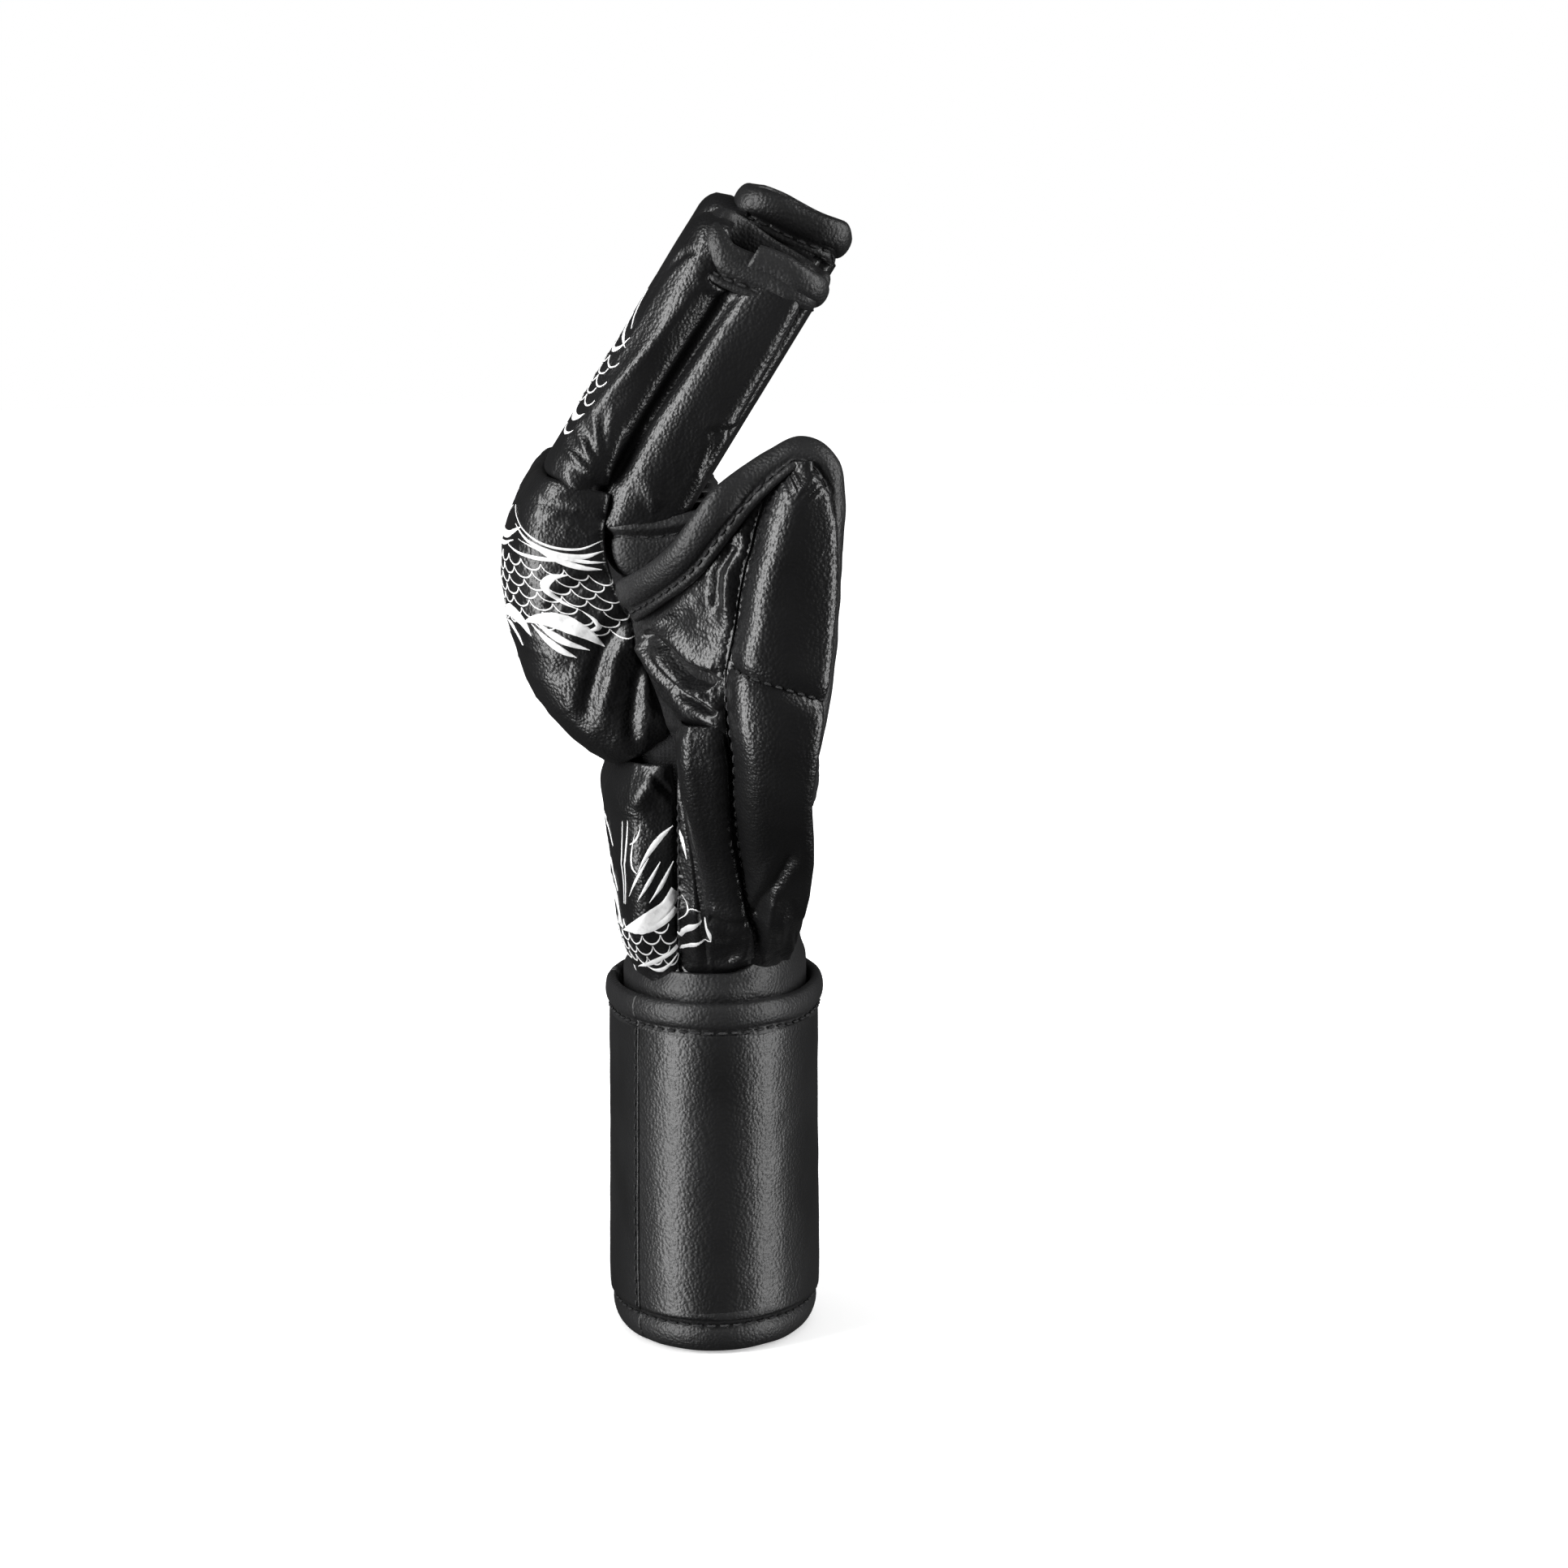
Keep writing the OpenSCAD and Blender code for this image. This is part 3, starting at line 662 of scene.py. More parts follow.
def make_finger_hide(finger):
    """Padded leather skin with the finger's hole through it, and its print."""
    name, y, reach = finger.name, finger.y, finger.reach
    cols, rows = (132, 110) if name == "index" else (96, 64)
    section = ring_from_half(HALF_SECTION, cols)
    x, side = section[:, 0], section[:, 1]
    # the foot follows the knuckle crease, and the top rises behind the tip band
    back_end = 1.5 if name == "index" else 7.0
    foot = np.interp(x, [-30, -13, -9, 9], [-1.5, 1.0, -4.5, 6.6])
    head = reach - np.interp(x, [-28, -25.0, -20.8, -16, 9], [back_end, back_end + 1.0, 8.0, 9.6, 8.2])
    z = foot + (head - foot) * np.linspace(0, 1, rows)[:, None]
    back = smooth_step(-x, 17, 24)
    head_tuck = back * (5.5 - pillow(head - z, 6.5, 5.5))
    foot_tuck = back * (2.0 - pillow(z - foot, 5.0, 2.0))
    # a finger is slimmer towards its tip, on the palm side of its thickest place
    thick_x, palm_x = -2.5, HALF_SECTION[-1][0]
    palm_side = np.interp(z, [-5, 16, 60, 75], [8.6, 7.6, 5.6, 4.4])
    slim = np.where(x > thick_x, thick_x + (x - thick_x) * (palm_side - thick_x) / (palm_x - thick_x), x)
    local = np.stack([slim + head_tuck + foot_tuck, side + 0 * z, z], axis=2)
    grid = finger_to_hand(local, y)
    on_side = smooth_step(np.abs(side), 4.0, 7.5)
    rise = finger_sides_rise(slim, z, reach) * on_side
    rise += 0.22 * ripple(grid, 9, finger.seed, (1, 1, 2)) - 0.25
    creased = on_side * smooth_step(-z, -28, -6)
    rise += 0.16 * creased * sharp_ripple(grid, 5.0, finger.seed + 4, (0.7, 1, 2.0))
    rise -= 0.5 * smooth_step(np.abs(side), 10.5, 11.5) * (name != "index")
    normal = surface_normals(grid, np.array([grid[..., 0].mean(), y, grid[..., 2].mean()]), True)
    outer = grid + normal * rise[..., None]
    hole = ring_from_half(HALF_HOLE, cols)
    widen = smooth_step(z, reach - 20, reach - 6)
    inner_x = hole[:, 0] - 9.0 * widen * smooth_step(-hole[:, 0], 2, 9)
    inner = finger_to_hand(np.stack([inner_x, hole[:, 1] + 0 * z, z], axis=2), y)
    skin = make_shell(f"{name}_hide", outer, inner, LEATHER, finger.blend, wrap=True)
    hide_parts(f"{name}_cover", f"{name}_foam", f"{name}_sleeve")
    print_finger(name, outer, finger.blend)


def make_tip_edge(finger):
    """Bound edge round the fingertip opening, and the end that laps over its start on the thumb side."""
    name, y, reach = finger.name, finger.y, finger.reach
    is_index = name == "index"
    back_x = -22.4 if is_index else -19.6
    half = ((back_x, 0), (back_x + 0.2, 4.5), (back_x + 1.4, 7.8), (back_x + 4.4, 9.8), (-12.0, 10.5),
            (-6, 10.4), (1, 9.7), (4.2, 7.8), (5.5, 4.5), (5.5, 0))
    mouth = ring_from_half(half, MOUTH_POINTS)
    mx, my = mouth[:, 0], mouth[:, 1]
    angle = np.linspace(0, 2 * math.pi, MOUTH_POINTS, endpoint=False)
    wave = 0.25 * np.sin(2 * angle + finger.seed) + 0.2 * np.sin(5 * angle + 2 * finger.seed)
    if is_index:
        drop = smooth_step(-my, 1, 6) * np.interp(mx, [-23, -20.5, -16.4, -12.4, -3, 4.7],
                                                  [2.0, 3.4, 5.0, 4.8, 3.6, 3.6])
    else:
        drop = -np.interp(mx, [-20, -16.6, -8.5, -0.6, 4.2, 5.5], [-2.4, -0.9, -0.3, 0.9, 1.8, 0.6])
    edge = np.stack([mx, my, reach - drop + wave], axis=1)
    out = unit(np.cross(np.roll(mouth, -1, axis=0) - np.roll(mouth, 1, axis=0), [0, 0, 1.0]))
    if np.sum(out[:, 0] * (mx + 6)) < 0:
        out = -out
    zero = finger_to_hand(np.zeros(3), y)
    lift = finger_to_hand(out, y) - zero
    down = finger_to_hand(np.tile([0, 0, -1.0], (MOUTH_POINTS, 1)), y) - zero
    band = sweep(f"{name}_tip_band", finger_to_hand(edge, y), lift, down, binding_outline(7.4, 2.5, 3.0, 1.1),
                 BINDING, name, True)
    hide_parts(f"{name}_tip_binding")
    seam = finger_to_hand(edge + out * 0.7 - [0, 0, 8.1], y)
    stitch_row(f"{name}_tip_stitches", closed_loop(seam), closed_loop(lift), name)

    lap = [k for k in range(52) if mx[k] > -11.8]
    level = reach - np.interp(mx[lap], [-11.6, -3.3, 4.7, 5.5], [2.3, 1.0, 1.2, 2.4]) * is_index + wave[lap]
    proud = 1.0 if is_index else 0.1      # the other fingers have a neighbour on that side
    flap = np.stack([mx[lap], my[lap], level], axis=1) + out[lap] * proud
    piece = sweep(f"{name}_tip_flap", finger_to_hand(flap, y), lift[lap], down[lap],
                  binding_outline(6.6, 1.4 + 0.9 * proud, 2.6, 1.3), BINDING, name)
    seam = finger_to_hand(flap + out[lap] * 0.7 * proud - [0, 0, 7.2], y)
    stitch_row(f"{name}_flap_stitches", seam, lift[lap], name)


def make_finger_foot(finger):
    """Bound foot of the sleeve, cut level and turned in under the finger."""
    name, y = finger.name, finger.y
    rows = 26
    a = np.linspace(0, 2 * math.pi, MOUTH_POINTS, endpoint=False)
    t = np.linspace(0, 1, rows)[:, None]
    height = FOOT_TOP - FOOT_HEIGHT * t
    curl = 1 - np.sqrt(np.clip(1 - np.clip((t - 0.45) / 0.56, 0, 1) ** 2, 0, 1))
    left, right, across = -25.4 + 9.5 * curl, -0.5 - 8.0 * curl, 11.4 - 4.5 * curl
    squareness = 0.5
    bx = (left + right) / 2 + (right - left) / 2 * np.sign(np.cos(a)) * np.abs(np.cos(a)) ** squareness
    by = y + across * np.sign(np.sin(a)) * np.abs(np.sin(a)) ** squareness
    grid = np.stack([bx, by, height + 2.2 * smooth_step(bx, -14, 0)], axis=2)
    lip_z, groove_z = FOOT_TOP - 2.0, FOOT_TOP - 4.3
    lip = 1.1 * np.exp(-((height - lip_z) / 1.0) ** 2) - 0.9 * np.exp(-((height - groove_z) / 0.55) ** 2)
    piece, outer = make_hide(f"{name}_base_band", grid, np.array([FOOT_X, y, 205.0]), lip + 0 * bx,
                             BINDING, finger.blend, 1.6, wrap=True)
    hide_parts(f"{name}_base_binding")
    row = outer[int(rows * FOOT_STITCHES / FOOT_HEIGHT)]
    up = unit(row - np.array([FOOT_X, y, FOOT_TOP - 4.6]))
    stitch_row(f"{name}_base_stitches", closed_loop(row), closed_loop(up), finger.blend)


for finger_name in FINGERS:
    finger_measures = measure_finger(finger_name)
    make_finger_hide(finger_measures)
    make_tip_edge(finger_measures)
    make_finger_foot(finger_measures)


# ---------------------------------------------------------------- back of the hand
def arch_surface(stations, rows, cols, fullness=0.62):
    """Padded arch across the hand. A station is side X, side Z, crown X, crown Z and the two half widths."""
    stations = np.asarray(stations, float)
    middle = (stations[:, 1] + stations[:, 3]) / 2
    at = np.linspace(middle[0], middle[-1], rows)
    s = hermite(middle, stations, at)
    phi = np.linspace(-math.pi / 2, math.pi / 2, 361)
    k = np.clip(np.cos(phi), 0, 1) ** fullness
    w = np.sign(np.sin(phi)) * np.abs(np.sin(phi)) ** fullness
    grid = []
    for side_x, side_z, crown_x, crown_z, near, far in s:
        row = np.column_stack([side_x + (crown_x - side_x) * k, np.where(w < 0, near, far) * w,
                               side_z + (crown_z - side_z) * k])
        grid.append(resample(row, cols))
    return np.array(grid)


def near_and_far(grid, fold, inner, outer):
    """A side pattern worked out in X and Z, shown on both sides of the hand and fading over the back."""
    return fold * smooth_step(np.abs(grid[..., 1]), inner, outer)


KNUCKLE_STATIONS = (
    (-9.0, 155.5, -23.0, 146.0, 43.5, 43.0), (-9.6, 158.5, -32.0, 151.5, 45.0, 44.0),
    (-12.0, 164, -42.5, 162.5, 46.0, 45.5), (-15.5, 174, -48.2, 176, 47.0, 46.5),
    (-19.0, 185, -50.6, 189, 47.3, 47.0), (-23.5, 195, -50.4, 201, 47.3, 47.2),
    (-25.0, 205, -47.3, 212, 47.3, 47.2), (-23.5, 214.5, -42.6, 219.5, 47.0, 47.0))


def knuckle_folds(x, z):
    return folded(0.0, x, z, (
        (ridge, [(-17, 184), (-21.5, 177), (-24.5, 165), (-25, 160)], 2.6, 1.1),
        (furrow, [(-19.5, 186), (-25.5, 178), (-29, 166), (-30, 160)], 1.8, 0.8),
        (furrow, [(-14.5, 179), (-17.5, 170), (-19, 160), (-18.5, 154)], 1.4, 0.7),
        (ridge, [(-14, 174), (-15, 166), (-14.5, 157)], 2.0, 0.5),
        (ridge, [(-22.5, 188), (-30, 184), (-36, 176)], 2.6, 0.8),
        (furrow, [(-23.5, 195), (-31, 193), (-39, 187)], 1.5, 0.6),
        (furrow, [(-24, 208), (-32, 210), (-41, 213)], 1.2, 0.5)))


def make_knuckle_pad():
    grid = arch_surface(KNUCKLE_STATIONS, 150, 230, fullness=0.44)
    x, z = grid[..., 0], grid[..., 2]
    rise = pillow(edge_distance(grid, "b"), 7.0, 2.4) + pillow(edge_distance(grid, "t"), 3.0, 1.3)
    rise += pillow(edge_distance(grid, "lr"), 3.0, 1.3) - 4.8
    rise += near_and_far(grid, knuckle_folds(x, z), 34, 44)
    rise += 0.6 * ripple(grid, 16, 1) + 0.2 * sharp_ripple(grid, 6, 2, (1, 1.6, 1))
    pad, outer = make_hide("knuckle_pad", grid, np.array([-15, 0, 180.0]), rise, LEATHER, "hand", thick=3.0)
    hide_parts("knuckle_cover", "knuckle_foam")
    return outer


WRIST_STATIONS = (
    (-7.4, 83, -15.6, 83, 24.8, 24.8), (-7.8, 88.5, -17.2, 88.5, 25.6, 25.6),
    (-8.2, 94, -20.0, 94, 27.4, 27.4), (-8.3, 100, -22.8, 100, 31.6, 31.4),
    (-8.4, 119, -25.2, 119, 39.4, 36.8), (-8.4, 134, -26.9, 134, 43.0, 39.4),
    (-8.6, 143, -27.2, 143, 44.6, 41.8), (-9.2, 149.5, -23.5, 149, 44.0, 42.0))


def make_wrist_panel():
    grid = arch_surface(WRIST_STATIONS, 100, 190)
    x, z = grid[..., 0], grid[..., 2]
    rise = pillow(edge_distance(grid, "lr"), 3.0, 1.2) - 0.9
    folds = folded(0.0, x, z, (
        (ridge, [(-17, 96), (-17.5, 115), (-18, 132)], 3.2, 0.9),
        (ridge, [(-8.8, 152), (-12.5, 147), (-15.5, 143.5), (-19, 138)], 2.4, 1.7),
        (furrow, [(-9.0, 141), (-11.5, 144), (-13.4, 146.4)], 0.8, 0.9)))
    rise += near_and_far(grid, folds, 22, 34)
    rise += 0.5 * ripple(grid, 14, 11) + 0.22 * sharp_ripple(grid, 7, 12, (1, 1, 2))
    panel, outer = make_hide("wrist_panel", grid, np.array([0, 0, 115.0]), rise, LEATHER, "hand")
    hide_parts("wrist_cover", "wrist_foam")
    return outer


knuckle_outer = make_knuckle_pad()
wrist_outer = make_wrist_panel()


# ---------------------------------------------------------------- thumb side
THUMB_CROWN_X = 16.0
# Bound rim of the shield, X and Z of its outer edge and of its lip, from the index finger to the heel
THUMB_RIM = (
    (-21.3, 194.8, -17.4, 184.6), (-18.1, 197.0, -12.6, 188.5), (-8.8, 205.2, -1.4, 198.4),
    (-3.9, 212.0, 3.6, 205.0), (0.6, 218.0, 7.6, 210.3), (6.7, 222.9, 11.7, 216.0),
    (14.1, 227.7, 16.6, 221.7), (21.4, 230.8, 20.8, 224.4), (26.2, 229.4, 23.9, 221.8),
    (29.9, 225.6, 26.2, 218.0), (32.0, 215.2, 28.0, 211.0), (31.3, 200.3, 28.2, 200.0),
    (30.4, 183.8, 27.0, 183.8), (29.2, 172.0, 25.6, 172.0), (26.9, 158.9, 24.1, 158.9),
    (24.2, 147.6, 22.6, 147.6), (23.2, 143.8, 21.8, 143.8))
RIM_WIDTH = 10.0
RIM_POINTS = 280
CREASE_SLOPE = -0.34      # the bending seam falls towards the palm
HAND_FOOT = 84.0          # the leather's lower end, hidden by the collar
GUSSET_TOP = 162.5


def hand_side(z):
    """How far out the hand's side lies, at its back edge."""
    return np.interp(z, [84, 92, 98, 112, 143, 160, 171.5, 188],
                     [28.0, 31.0, 34.2, 38.5, 44, 47.8, 49.6, 50.6])


def thumb_out(z):
    """How far out the shield's crown lies."""
    low = np.interp(z, [84, 95], [35.0, 42.0])
    return np.minimum(low, 42) + 36 * smooth_step(z, 95, 167) - 4 * smooth_step(z, 200, 250)


def thumb_left(z):
    """X of the thumb side's edge towards the back of the hand."""
    return np.interp(z, [88, 140, 155, 161, 171.5, 182, 188.4], [-8.7, -8.7, -9.0, -10.5, -14, -16.8, -17.5])


def thumb_y(x, z):
    """How far out (-Y) the thumb side's surface lies, as in the CAD frame."""
    side, start = hand_side(z), np.minimum(thumb_left(z), -14.0)
    t = np.where(x < THUMB_CROWN_X, (THUMB_CROWN_X - x) / (THUMB_CROWN_X - start), (x - THUMB_CROWN_X) / 38)
    out = side + (thumb_out(z) - side) * (1 - t * t)
    # inside the collar the leather follows the cuff's oval
    in_collar = (CUFF_B - 8.0) * np.sqrt(1 - np.clip(x / (CUFF_A - 5.0), -0.95, 0.95) ** 2)
    return -(in_collar + (out - in_collar) * smooth_step(z, 90, 113))


def radial_grid(z0, z1, left, right, rows, cols, tilt=(0, 0)):
    """Patch of the thumb side. `tilt` slopes its bottom and top edges, as rise per millimetre of X."""
    t = np.linspace(0, 1, rows)[:, None]
    z = z0 + (z1 - z0) * t
    a, b = left(z), right(z)
    x = a + (b - a) * np.linspace(0, 1, cols)
    z = z + (tilt[0] * (1 - t) + tilt[1] * t) * (x - THUMB_CROWN_X)
    return np.stack([x, thumb_y(x, z), z], axis=2)


# Stitched seam between the side of the hand and the thumb's pads, as (X, Z) from the cuff upwards
SEAM = ((10.6, 84), (10.4, 100), (9.8, 107.5), (8.7, 110.5), (7.1, 121.1), (5.4, 132.4), (4.7, 143.3),
        (4.4, 153), (3.3, 160.5), (2.8, 165.7), (2.9, 175.5), (3.7, 179), (5.2, 185.7), (6.3, 193.2),
        (7.8, 200.6), (9.3, 205), (10.4, 209.8), (12.6, 216.1), (15.9, 222.8))
SEAM_X, SEAM_Z = zip(*SEAM)
SEAM_LOW, SEAM_HIGH = SEAM[:11], SEAM[11:]     # up to the bending seam, and above it
SEAM_WEB = SEAM[9:]                            # along the loose leather


def seam_x(z):
    """X of the stitched seam at height z."""
    return np.interp(z, SEAM_Z, SEAM_X)


def rim_inner_x(z):
    """Left limit of the shield inside its bound rim."""
    return np.interp(z, [184.6, 189.1, 195.8, 204.3, 211.7, 218, 223.9, 225.5],
                     [-17.4, -11.8, -4.4, 3.0, 8.9, 12.6, 16.3, 19])


def rim_right_x(z):
    """Right limit of the shield, towards the palm."""
    return np.interp(z, [86, 96, 107, 120, 130, 138, 147, 158.9, 172, 183.8, 200, 211, 218, 223],
                     [17.0, 18.6, 20.8, 22.6, 23.4, 23.3, 22.8, 24.1, 25.6, 27.0, 28.2, 28.0, 26.2, 23.0])


INSIDE_THUMB = np.array([8.0, -30.0, 170.0])
# two places on the thumb side, from just under the crease to a little above it, passed along with its leather
THUMB_BLEND = ("hand", "thumb", (10 * MM, -70 * MM, (CREASE_Z - 5) * MM),
               (10 * MM, -70 * MM, (CREASE_Z + 12) * MM))


def make_thumb_pad():
    grid = radial_grid(CREASE_Z - 1.2, 225.0, lambda z: np.maximum(seam_x(z), rim_inner_x(z) - 2),
                       lambda z: rim_right_x(z) + 1.2, 150, 90, (CREASE_SLOPE, 0))
    x, z = grid[..., 0], grid[..., 2]
    rise = dome(edge_distance(grid, "l"), 9.5, 6.2) + dome(edge_distance(grid, "b"), 6.0, 2.2) - 7.1
    rise += pillow(edge_distance(grid, "r"), 3.0, 1.4)
    rise -= 1.6 * (1 - smooth_step(edge_distance(grid, "t"), 0, 8))
    rise += puckers(x, z, SEAM_HIGH, 2.3, 2.2, 0.28)
    rise += puckers(x, z, [(12, 214), (16, 219), (21, 221), (25, 217)], 1.9, 2.6, 0.25)
    rise += 0.25 * ripple(grid, 12, 22)
    pad, outer = make_hide("thumb_pad", grid, INSIDE_THUMB, rise, LEATHER, THUMB_BLEND, thick=2.2)
    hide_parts("thumb_cover", "thumb_foam")
    return outer


def make_thumb_web():
    """Loose leather between the knuckle pad and the thumb's seam, gathered into tube-like folds."""
    def left(z):
        return np.minimum(np.where(z < 185, thumb_left(z) - 1.0, rim_inner_x(z) - 3), seam_x(z) - 1.2)
    grid = radial_grid(157.5, 221.0, left, seam_x, 190, 110)
    x, z = grid[..., 0], grid[..., 2]
    rise = pillow(edge_distance(grid, "rb"), 3.5, 1.6) - 2.6
    rise = folded(rise, x, z, (
        (ridge, [(-17.6, 182.5), (-12.8, 174.9), (-9.1, 168.9), (-4.3, 165.0), (1.7, 163.6),
                (4, 163.4)], 2.7, 3.6),
        (ridge, [(-14.5, 180.3), (-10.2, 175.6), (-5.8, 171.4), (1.7, 167.4), (4, 166.6)], 1.6, 2.2),
        (furrow, [(-15.5, 181), (-11.0, 175.4), (-4.5, 169.2), (2.1, 165.4)], 0.8, 1.5),
        (furrow, [(-15.8, 182.6), (-10.0, 179.3), (-5.4, 174.4), (1.4, 173.0)], 1.4, 2.4),
        (ridge, [(-17.5, 184.5), (-10.3, 182.8), (-4.6, 178.6), (2.0, 177.6)], 2.6, 1.5),
        (ridge, [(-2.6, 173.4), (-1.6, 171.2), (-0.6, 169.4)], 0.9, 1.1),
        (ridge, [(0.4, 173.6), (0.2, 171.6), (1.0, 169.8)], 0.8, 0.8),
        (ridge, [(4.0, 203), (4.0, 195), (4.6, 186.5)], 2.2, 1.0),
        (ridge, [(-4.2, 194), (-10.6, 187.8), (-15.2, 184.2)], 1.7, 1.2),
        (ridge, [(7.4, 210.5), (8.4, 202.4)], 1.2, 0.4),
        (furrow, [(5.6, 206), (2.0, 199), (1.0, 190)], 1.2, 0.9)))
    for k, low in enumerate((186.6, 185.2, 183.6, 182.2, 181.0)):
        rise += ridge(x, z, [(-7.5 + k, low), (-2, low - 1.3), (3.2, low - 3.0)], 0.55, 0.16)
    rise += puckers(x, z, SEAM_WEB, 2.1, 1.9, 0.22)
    rise += 0.10 * sharp_ripple(grid, 5, 31, (1.2, 1, 0.8)) + 0.35 * ripple(grid, 10, 32)
    web, _ = make_hide("thumb_web", grid, INSIDE_THUMB, rise, LEATHER, THUMB_BLEND, thick=1.6)
    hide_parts("thumb_cover")


def make_thumb_lining():
    """Cloth and its thin padding on the inside of the thumb's leather."""
    grid = radial_grid(134, 221, lambda z: np.minimum(np.maximum(thumb_left(z) - 5, rim_inner_x(z) - 3), 16),
                       lambda z: rim_right_x(z) + 1.5, 60, 60)
    lining, _ = make_hide("thumb_lining_cloth", grid, INSIDE_THUMB, 0.2 * ripple(grid, 9, 33) - 7.4, LINING,
                          THUMB_BLEND, 8.4)
    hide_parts("thumb_lining")


def make_thenar_pad():
    grid = radial_grid(HAND_FOOT, CREASE_Z + 0.2, seam_x, lambda z: rim_right_x(z) + 1.0, 170, 76,
                       (0, CREASE_SLOPE))
    x, z = grid[..., 0], grid[..., 2]
    lower = smooth_step(z, 104, 126)
    rise = dome(edge_distance(grid, "l"), 9.0, 4.6) * (0.35 + 0.65 * lower)
    rise += dome(edge_distance(grid, "t"), 6.0, 2.6)
    rise += pillow(edge_distance(grid, "r"), 3.0, 1.2) - 5.9
    rise = folded(rise, x, z, (
        (furrow, [(19.5, 133), (15.6, 124.8), (12.6, 118.6), (9.8, 111)], 1.3, 0.9),
        (ridge, [(14.9, 121), (14.6, 114), (14.1, 107), (12.9, 97), (12.5, 91)], 1.8, 1.9),
        (ridge, [(17.4, 115), (16.8, 107), (16.3, 100)], 1.3, 1.2),
        (ridge, [(22.4, 137), (23, 131), (22.4, 124)], 3.0, 0.5),
        (ridge, [(22, 104), (21.5, 99), (20.5, 94)], 2.4, 1.0),
        (furrow, [(19.5, 120), (21.2, 111), (23.4, 108)], 1.8, 0.7)))
    rise += puckers(x, z, SEAM_LOW, 3.2, 1.6, 0.18) + 0.25 * ripple(grid, 11, 42)
    rise += 0.22 * smooth_step(-z, -112, -98) * sharp_ripple(grid, 5.0, 41, (1.4, 1, 0.8))
    inside = np.array([8.0, -20.0, 130.0])
    pad, outer = make_hide("thenar_pad", grid, inside, rise, LEATHER, "hand", thick=2.0)
    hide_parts("thenar_cover", "thenar_foam")
    return outer


STRIP_Z = (84, 96, 105.5, 115, 128.2, 143.3, 154, 161.5)
STRIP_X = (-0.6, -0.8, -1.5, -2.2, -4.0, -6.9, -8.4, -8.8)


def make_side_gusset():
    """Side of the wrist: a narrow printed strip and a proud padded strip beside the thumb's seam."""
    grid = radial_grid(HAND_FOOT, GUSSET_TOP, thumb_left, seam_x, 170, 100)
    x, z = grid[..., 0], grid[..., 2]
    inner = np.interp(z, STRIP_Z, STRIP_X)
    panel = thumb_y(seam_x(z), z) + 0.24 * (seam_x(z) - x)
    wall = dome(x - inner + 0.3, 5.0, 1.0)
    low = smooth_step(z, 93, 114)
    grid[..., 1] += (panel - grid[..., 1]) * wall * low
    left_roll = pillow(x - inner, 4.2, 1.0)
    right_roll = pillow(seam_x(z) - x, 3.8, 1.0)
    rise = -1.0 + (2.1 * left_roll + 1.9 * (right_roll - 1) * wall) * (0.1 + 0.9 * low)
    rise -= 1.6 * (1 - smooth_step(GUSSET_TOP - z, 0.0, 3.2))
    rise -= 1.3 * low * np.exp(-((x - inner + 0.5) / 0.8) ** 2)
    rise = folded(rise, x, z, (
        (ridge, [(-6.8, 161), (-6.0, 154.7), (-5.3, 147), (-3, 133)], 1.4, 0.7),
        (furrow, [(-0.8, 112.3), (4, 110.8), (8.6, 110.4)], 1.3, 1.1),
        (ridge, [(0, 97), (4.5, 97.6), (8.0, 100.5), (9.4, 105)], 1.5, 1.5),
        (ridge, [(0.5, 104.5), (4, 105), (6.6, 107)], 1.2, 0.7),
        (ridge, [(-4.6, 128), (-4.2, 108), (-3.5, 92)], 1.4, 0.4)))
    rise += puckers(x, z, [(-8.7, 95), (-8.7, 138)], 2.6, 1.2, 0.16)
    rise += puckers(x, z, SEAM_LOW, 2.9, 1.6, 0.2)
    rise += (0.2 * sharp_ripple(grid, 4.5, 51, (0.9, 1, 1.2)) * smooth_step(-z, -110, -98)
             + 0.22 * ripple(grid, 10, 52))
    inside = np.array([0.0, -20.0, 125.0])
    piece, outer = make_hide("side_gusset", grid, inside, rise, LEATHER, "hand", thick=1.4)
    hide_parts("radial_gusset")
    return outer


pad_outer = make_thumb_pad()
make_thumb_web()
make_thumb_lining()
thenar_outer = make_thenar_pad()
gusset_outer = make_side_gusset()


def make_thumb_rim():
    """One bound edge from the index finger, over the thumb's tip and down to the heel of the hand."""
    rim = np.asarray(THUMB_RIM, float)
    chord = run_lengths(rim[:, :2])
    line = hermite(chord, rim, np.linspace(0, chord[-1], RIM_POINTS))
    outer, lip = line[:, :2], line[:, 2:]
    seen = np.linalg.norm(outer - lip, axis=1)
    turned = np.sqrt(np.clip(RIM_WIDTH**2 - seen**2, 0, None))     # how far it folds away round the edge
    spread = 9
    window = 2 * spread + 1
    turned = np.convolve(np.pad(turned, spread, mode="edge"), np.ones(window) / window, mode="valid")
    lip_y = thumb_y(lip[:, 0], lip[:, 1]) - 0.6
    edge = np.stack([outer[:, 0], lip_y + turned, outer[:, 1]], axis=1)
    inward = np.stack([lip[:, 0], lip_y, lip[:, 1]], axis=1) - edge
    width = np.linalg.norm(inward, axis=1)
    inward /= width[:, None]
    up = unit(np.cross(np.gradient(edge, axis=0), inward))
    up *= np.where(np.sum(up * (edge - INSIDE_THUMB), axis=1) < 0, -1.0, 1.0)[:, None]
    swell = np.array([noise.noise(Vector((s * 0.09, 4.2, 0.3))) for s in range(RIM_POINTS)])[:, None]
    edge -= up * 2.0 * (turned / width)[:, None]
    piece = sweep("thumb_rim", edge + up * 0.35 * swell, up, inward * (width / RIM_WIDTH)[:, None],
                  binding_outline(6.9, 2.3, 3.1, 2.0), BINDING, THUMB_BLEND)
    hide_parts("thumb_binding", "thenar_binding")
    seam = edge + inward * (0.765 * width)[:, None] + up * 0.75
    stitch_row("thumb_rim_stitches", seam, up, THUMB_BLEND)


make_thumb_rim()


